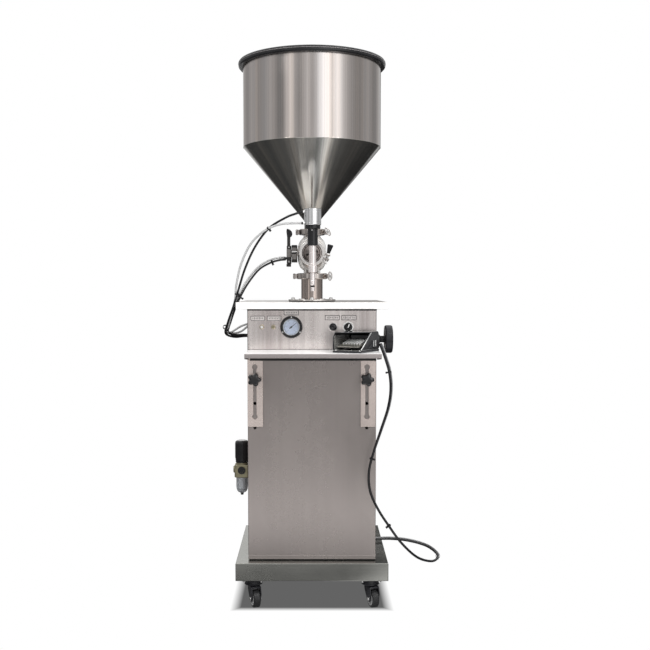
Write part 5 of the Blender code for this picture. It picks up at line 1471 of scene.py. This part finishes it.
def twisted(points, steps, reach, turns, start):
    """A companion of a hose that winds slowly round it: its path at a distance from the hose's."""
    path = spline(points, steps)
    companion = []
    for i, point in enumerate(path):
        ahead = (path[min(i + 1, len(path) - 1)] - path[max(i - 1, 0)]).normalized()
        side = ahead.cross(Vector((0, -1, 0))).normalized()
        up = side.cross(ahead)
        angle = math.radians(start + 360 * turns * i / (len(path) - 1))
        companion.append(point + side * math.cos(angle) * reach + up * math.sin(angle) * reach)
    return companion


def tie(path, near, radius):
    """A flat cable tie round a hose bundle at the place on its path nearest to a height."""
    index = min(range(1, len(path) - 1), key=lambda i: (path[i] - Vector(near)).length)
    at = path[index]
    ahead = path[index + 1] - path[index - 1]
    band = lathe([(radius - 0.6, -1.9), (radius + 0.5, -1.9), (radius + 0.5, 1.9), (radius - 0.6, 1.9)], segments=28, edge=0.3)
    head = block(-2.6, 2.6, -radius - 4.0, -radius + 0.2, -2.6, 2.6, 0.8, 0.5)
    turn = ahead.to_track_quat("Z", "Y").to_matrix().to_4x4()
    for shape in (band, head):
        bmesh.ops.transform(shape, matrix=Matrix.Translation(at) @ turn, verts=shape.verts)
    return [band, head]


def make_hoses():
    """The nozzle's and the actuator's hoses, tied together down to the cabinet's left side."""
    piece("nozzle_hose", "frame", "hose", [tube(NOZZLE_HOSE, 3.1, 10, 16)], ["hose_bundle"])
    piece("nozzle_return_hose", "frame", "clear_hose", [tube(NOZZLE_RETURN, 2.9, 10, 16)])
    piece("actuator_hose", "frame", "hose", [tube(ACTUATOR_HOSE, 3.0, 10, 16)])
    piece("actuator_return_hose", "frame", "clear_hose", [tube(ACTUATOR_RETURN, 2.9, 10, 16)])
    ties = []
    trunk = spline(NOZZLE_HOSE, 10)
    branch = spline(ACTUATOR_HOSE, 10)
    for near, radius in (((-118, -228, 1066), 5.6), ((-210, -160, 888), 6.6), ((-244, -114, 790), 9.5)):
        ties += tie(trunk, near, radius)
    ties += tie(branch, (-113, -97, 978), 5.6)
    ties += tie(branch, (-203, -150, 878), 6.4)
    piece("hose_ties", "frame", "plastic", ties)
    grommets = [lathe([(3.4, -187), (8, -187), (8.6, -185.6), (8.6, -181.3), (3.4, -181.3)], (0, HOSE_ENTRY_Y, z), "X", 32,
                      edge=0.5) for z in HOSE_ENTRY_HEIGHTS]
    piece("hose_grommets", "frame", "rubber", grommets)


def make_pedal_hoses():
    """The pedal's pair of hoses and their ties, in one fixed shape between the cabinet and the platform."""
    companion = twisted(PEDAL_HOSE, 10, 5.0, 0.5, 180)
    middle = [Vector(p) for p in PEDAL_HOSE]
    path = spline(middle, 10)
    ties = []
    for near in ((211, -250, 673), (163, -229, 432), (213, -214, 242), (377, -30, 100)):
        ties += tie(path, near, 6.0)
    parts = [("pedal_air_hose", "hose", [tube(PEDAL_HOSE, 3.5, 10, 16)], ["pedal_hose"]),
             ("pedal_signal_hose", "grey_hose", [tube(companion, 1.9, 1, 12)], []),
             ("pedal_hose_ties", "plastic", ties, [])]
    for name, finish, shapes, replaced in parts:
        obj = piece(name, None, finish, shapes, replaced)
        obj.modifiers.clear()
        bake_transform(obj)


# ---------------------------------------------------------------- inside the cabinet

INNER_FINISHES = {"air_cylinder": "aluminium", "cylinder_bracket": "cabinet", "stop_carriage": "cast",
                  "lead_screw": "shaft", "handwheel_shaft": "shaft"}


def make_inside():
    """The drive inside the cabinet: the piston with its cup seal, and the air cylinder's tie rods with their nuts."""
    for name, finish in INNER_FINISHES.items():
        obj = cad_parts[name]
        material, slot = FINISHES[finish]
        obj.data.materials.clear()
        obj.data.materials.append(material)
        soften = obj.modifiers.new("edges", "BEVEL")
        soften.width = 0.4 * MM
        soften.segments = 2
        soften.limit_method = "ANGLE"
        soften.angle_limit = math.radians(40)
    rod, seal, cylinder = Box("piston_rod"), Box("piston_seal"), Box("air_cylinder")
    axis = (rod.x, rod.y, 0)
    crown, rest = rod.top, rod.bottom
    shaft = [(0, rest), (31.2, rest), (31.2, rest + 14), (8, rest + 14), (8, 580), (24, 580), (24, 584), (8, 584),
             (8, crown - 22), (26, crown - 22), (26, crown - 17), (20, crown - 17), (20, crown - 7), (26, crown - 7),
             (26, crown), (0, crown)]
    piece("piston_and_rod", "piston", "polished", [lathe(shaft, axis, segments=64, edge=0.5)], ["piston_rod"])
    low, high = seal.bottom, seal.top
    cup = [(20.3, low), (25.6, low), (26.7, low + 2), (26.4, seal.z), (26.7, high - 2), (25.6, high), (20.3, high)]
    piece("piston_cup_seal", "piston", "seal", [lathe(cup, axis, segments=64, edge=0.3)], ["piston_seal"])
    rods, nuts = [], []
    for x in (-30, 30):
        for y in (-30, 30):
            at = (cylinder.x + x, cylinder.y + y, 0)
            rods.append(lathe([(0, cylinder.bottom + 20), (3, cylinder.bottom + 20), (3, cylinder.top - 20),
                               (0, cylinder.top - 20)], at, segments=20))
            nuts += hex_bolt((at[0], at[1], cylinder.bottom), size=4.8, height=4, up=-1)
    piece("air_cylinder_tie_rods", "frame", "bright", rods + nuts)


# ---------------------------------------------------------------- studio

# Light seen in the machine's polished faces: (angle in degrees, level). The angle is 0 towards
# the camera and grows to the machine's right.
SURROUND = ((-180, 0.90), (-172, 0.90), (-160, 0.42), (-137, 0.30), (-121, 0.42), (-110, 0.42), (-99, 0.30),
            (-89, 0.36), (-80, 0.44), (-71, 0.44), (-64, 0.36), (-56, 0.24), (-48, 0.27), (-41, 0.60),
            (-34, 0.78), (-28, 0.46), (-21, 0.32), (-14, 0.45), (-7, 0.66), (0, 0.46), (6, 0.62), (12, 1.25),
            (19, 1.70), (27, 1.45), (33, 0.80), (40, 1.30), (47, 1.15), (55, 0.62), (63, 0.44), (71, 0.33),
            (80, 0.27), (88, 0.27), (97, 0.37), (108, 0.40), (121, 0.27), (134, 0.30), (156, 0.60), (166, 0.20),
            (172, 0.06), (180, 0.06))
OVERHEAD = 1.1

FLOOR_SIZE = 14.0

# Light level of the mirrored floor round the hopper's axis, in the same angles as SURROUND.
FLOOR_AROUND = ((-180, 0.05), (-134, 0.05), (-119, 0.06), (-100, 0.07), (-83, 0.09), (-70, 0.10), (-60, 0.13),
                (-52, 0.18), (-42, 0.19), (-32, 0.18), (-21, 0.14), (-10, 0.18), (0, 0.22), (8, 0.20),
                (18, 0.22), (26, 0.70), (33, 1.10), (41, 1.05), (48, 0.45), (56, 0.22), (64, 0.15), (77, 0.09),
                (91, 0.06), (114, 0.05), (122, 0.03), (180, 0.02))

# In front of the machine the mirrored floor is bright, then falls off: (distance, level).
FLOOR_AHEAD = ((0.0, 0.10), (0.45, 0.10), (0.66, 0.15), (0.85, 0.64), (1.05, 1.08), (1.30, 1.05), (1.8, 0.40),
               (2.4, 0.19), (4.0, 0.20), (7.0, 0.38))
SHADOW_BLUR = (-0.014, 0.016)
SHADOW_LEVEL = 0.125


def grey(tree, level):
    return node(tree, "CombineXYZ", None, in0=level, in1=level, in2=level).outputs[0]


def level_curve(tree, value, stops):
    """A smooth curve of a value through (place, level) stops."""
    curve = node(tree, "FloatCurve", None, in1=value)
    low, high = stops[0][0], stops[-1][0]
    peak = max(level for place, level in stops)
    points = curve.mapping.curves[0].points
    while len(points) < len(stops):
        points.new(0.5, 0.5)
    for point, (place, level) in zip(points, stops):
        point.location = ((place - low) / (high - low), level / peak)
        point.handle_type = "VECTOR"
    curve.mapping.update()
    return maths(tree, "MULTIPLY", curve.outputs[0], peak)


def make_world():
    """White to the camera; a studio of soft strips, floor and ceiling to everything else."""
    world = bpy.data.worlds.new("studio")
    bpy.context.scene.world = world
    world.use_nodes = True
    tree = world.node_tree
    tree.nodes.clear()
    ray = node(tree, "TexCoord").outputs["Generated"]
    parts = node(tree, "SeparateXYZ", None, in0=ray)
    x, y, z = parts.outputs
    angle = maths(tree, "ARCTAN2", x, maths(tree, "MULTIPLY", y, -1.0))
    turn = maths(tree, "DIVIDE", maths(tree, "ADD", angle, math.pi), 2 * math.pi)
    around = level_curve(tree, turn, SURROUND)
    upward = spread(tree, z, 0.35, 0.75, 0.0, 1.0)
    sides = maths(tree, "MULTIPLY", around, maths(tree, "SUBTRACT", 1.0, upward))
    level = maths(tree, "ADD", sides, maths(tree, "MULTIPLY", upward, OVERHEAD))
    surround = grey(tree, level)
    lit = node(tree, "Background", None, Color=surround, Strength=1.0).outputs[0]
    white = node(tree, "Background", None, Color=(1, 1, 1, 1), Strength=1.0).outputs[0]
    seen = node(tree, "LightPath").outputs["Is Camera Ray"]
    out = node(tree, "MixShader", None, in0=seen, in1=lit, in2=white).outputs[0]
    final = tree.nodes.new("ShaderNodeOutputWorld")
    tree.links.new(out, final.inputs[0])


def make_floor():
    """A white floor with a soft shadow under the base; polished faces mirror it darker."""
    mesh = bpy.data.meshes.new("floor")
    half = FLOOR_SIZE / 2
    mesh.from_pydata([(-half, -half, 0), (half, -half, 0), (half, half, 0), (-half, half, 0)], [], [(0, 1, 2, 3)])
    floor = bpy.data.objects.new("floor", mesh)
    bpy.context.scene.collection.objects.link(floor)
    material = bpy.data.materials.new("studio_floor")
    material.use_nodes = True
    tree = material.node_tree
    tree.nodes.clear()
    place = node(tree, "TexCoord").outputs["Object"]
    base, stack = Box("base_frame"), Box("hopper")
    from_base = node(tree, "VectorMath", {"operation": "SUBTRACT"}, in0=place, in1=ORIGIN).outputs[0]
    sides = node(tree, "SeparateXYZ", None, in0=from_base).outputs
    across = maths(tree, "SUBTRACT", maths(tree, "ABSOLUTE", sides[0]), base.width / 2 * MM)
    along = maths(tree, "SUBTRACT", maths(tree, "ABSOLUTE", sides[1]), base.depth / 2 * MM)
    outside = maths(tree, "MAXIMUM", across, along)
    shade = spread(tree, outside, *SHADOW_BLUR, SHADOW_LEVEL, 1.0)
    white = node(tree, "Emission", None, Color=grey(tree, shade), Strength=1.0).outputs[0]
    axis = ORIGIN + Vector((stack.x, stack.y, 0)) * MM
    from_axis = node(tree, "VectorMath", {"operation": "SUBTRACT"}, in0=place, in1=axis).outputs[0]
    x, y, z = node(tree, "SeparateXYZ", None, in0=from_axis).outputs
    angle = maths(tree, "ARCTAN2", x, maths(tree, "MULTIPLY", y, -1.0))
    turn = maths(tree, "DIVIDE", maths(tree, "ADD", angle, math.pi), 2 * math.pi)
    around = level_curve(tree, turn, FLOOR_AROUND)
    far = node(tree, "VectorMath", {"operation": "LENGTH"}, in0=from_axis).outputs["Value"]
    reach = FLOOR_AHEAD[-1][0]
    ahead = level_curve(tree, maths(tree, "DIVIDE", far, reach), FLOOR_AHEAD)
    turned = maths(tree, "ABSOLUTE", angle)
    front = maths(tree, "MULTIPLY", spread(tree, turned, math.radians(22), math.radians(38), 1.0, 0.0),
                  spread(tree, far, 0.60, 0.80, 0.0, 1.0))
    level = maths(tree, "ADD", maths(tree, "MULTIPLY", around, maths(tree, "SUBTRACT", 1.0, front)),
                  maths(tree, "MULTIPLY", ahead, front))
    mirrored = node(tree, "Emission", None, Color=grey(tree, level), Strength=1.0).outputs[0]
    path = node(tree, "LightPath")
    either = node(tree, "MixShader", None, in0=path.outputs["Is Glossy Ray"], in1=white, in2=mirrored).outputs[0]
    final = tree.nodes.new("ShaderNodeOutputMaterial")
    tree.links.new(either, final.inputs[0])
    mesh.materials.append(material)


def soft_light(name, at, target, size, power, mirrored=False):
    """A soft rectangular light that the camera doesn't see, and polished faces only if mirrored."""
    data = bpy.data.lights.new(name, "AREA")
    data.shape = "RECTANGLE"
    data.size, data.size_y = size
    data.energy = power
    lamp = bpy.data.objects.new(name, data)
    lamp.location = at
    lamp.rotation_euler = (Vector(target) - Vector(at)).to_track_quat("-Z", "Y").to_euler()
    lamp.visible_camera = False
    lamp.visible_glossy = mirrored
    bpy.context.scene.collection.objects.link(lamp)


def make_lights():
    soft_light("key", (2.2, -2.2, 2.6), (0, 0, 0.8), (1.2, 1.2), 55)
    soft_light("fill", (-2.6, -2.0, 1.5), (0, 0, 0.8), (1.4, 1.8), 22)
    soft_light("top", (0.2, -0.2, 3.2), (0, 0, 0), (2.2, 2.2), 40)
    soft_light("right_glint", (1.5, -1.6, 3.4), (0, 0, 0.8), (0.7, 0.7), 16, mirrored=True)
    soft_light("left_glint", (-1.7, -1.5, 3.2), (0, 0, 0.8), (0.5, 0.5), 9, mirrored=True)


def make_camera():
    data = bpy.data.cameras.new("camera")
    data.lens = 50.95
    data.sensor_width = 36.0
    data.shift_x = 0.0201
    data.shift_y = 0.0325
    camera = bpy.data.objects.new("camera", data)
    camera.location = ORIGIN + Vector((0, -2.7515, 0.90767))
    camera.rotation_euler = (math.radians(90 - 3.693), 0, 0)
    bpy.context.scene.collection.objects.link(camera)
    bpy.context.scene.camera = camera
    bpy.context.scene.view_settings.view_transform = "Standard"


FINISHES = make_finishes()
make_base()
for caster in caster_forks():
    make_caster(caster)
make_cabinet()
make_rear_door()
make_table()
make_panel()
make_gauge()
make_switches()
make_needle_valves()
make_flange()
make_cylinder()
make_valve()
make_actuator()
make_hopper()
make_clamps()
make_outlet()
make_nozzle()
make_handwheel()
make_platform()
make_star_knobs()
make_pedal()
make_filter()
make_hoses()
make_pedal_hoses()
make_inside()
make_world()
make_floor()
make_lights()
make_camera()
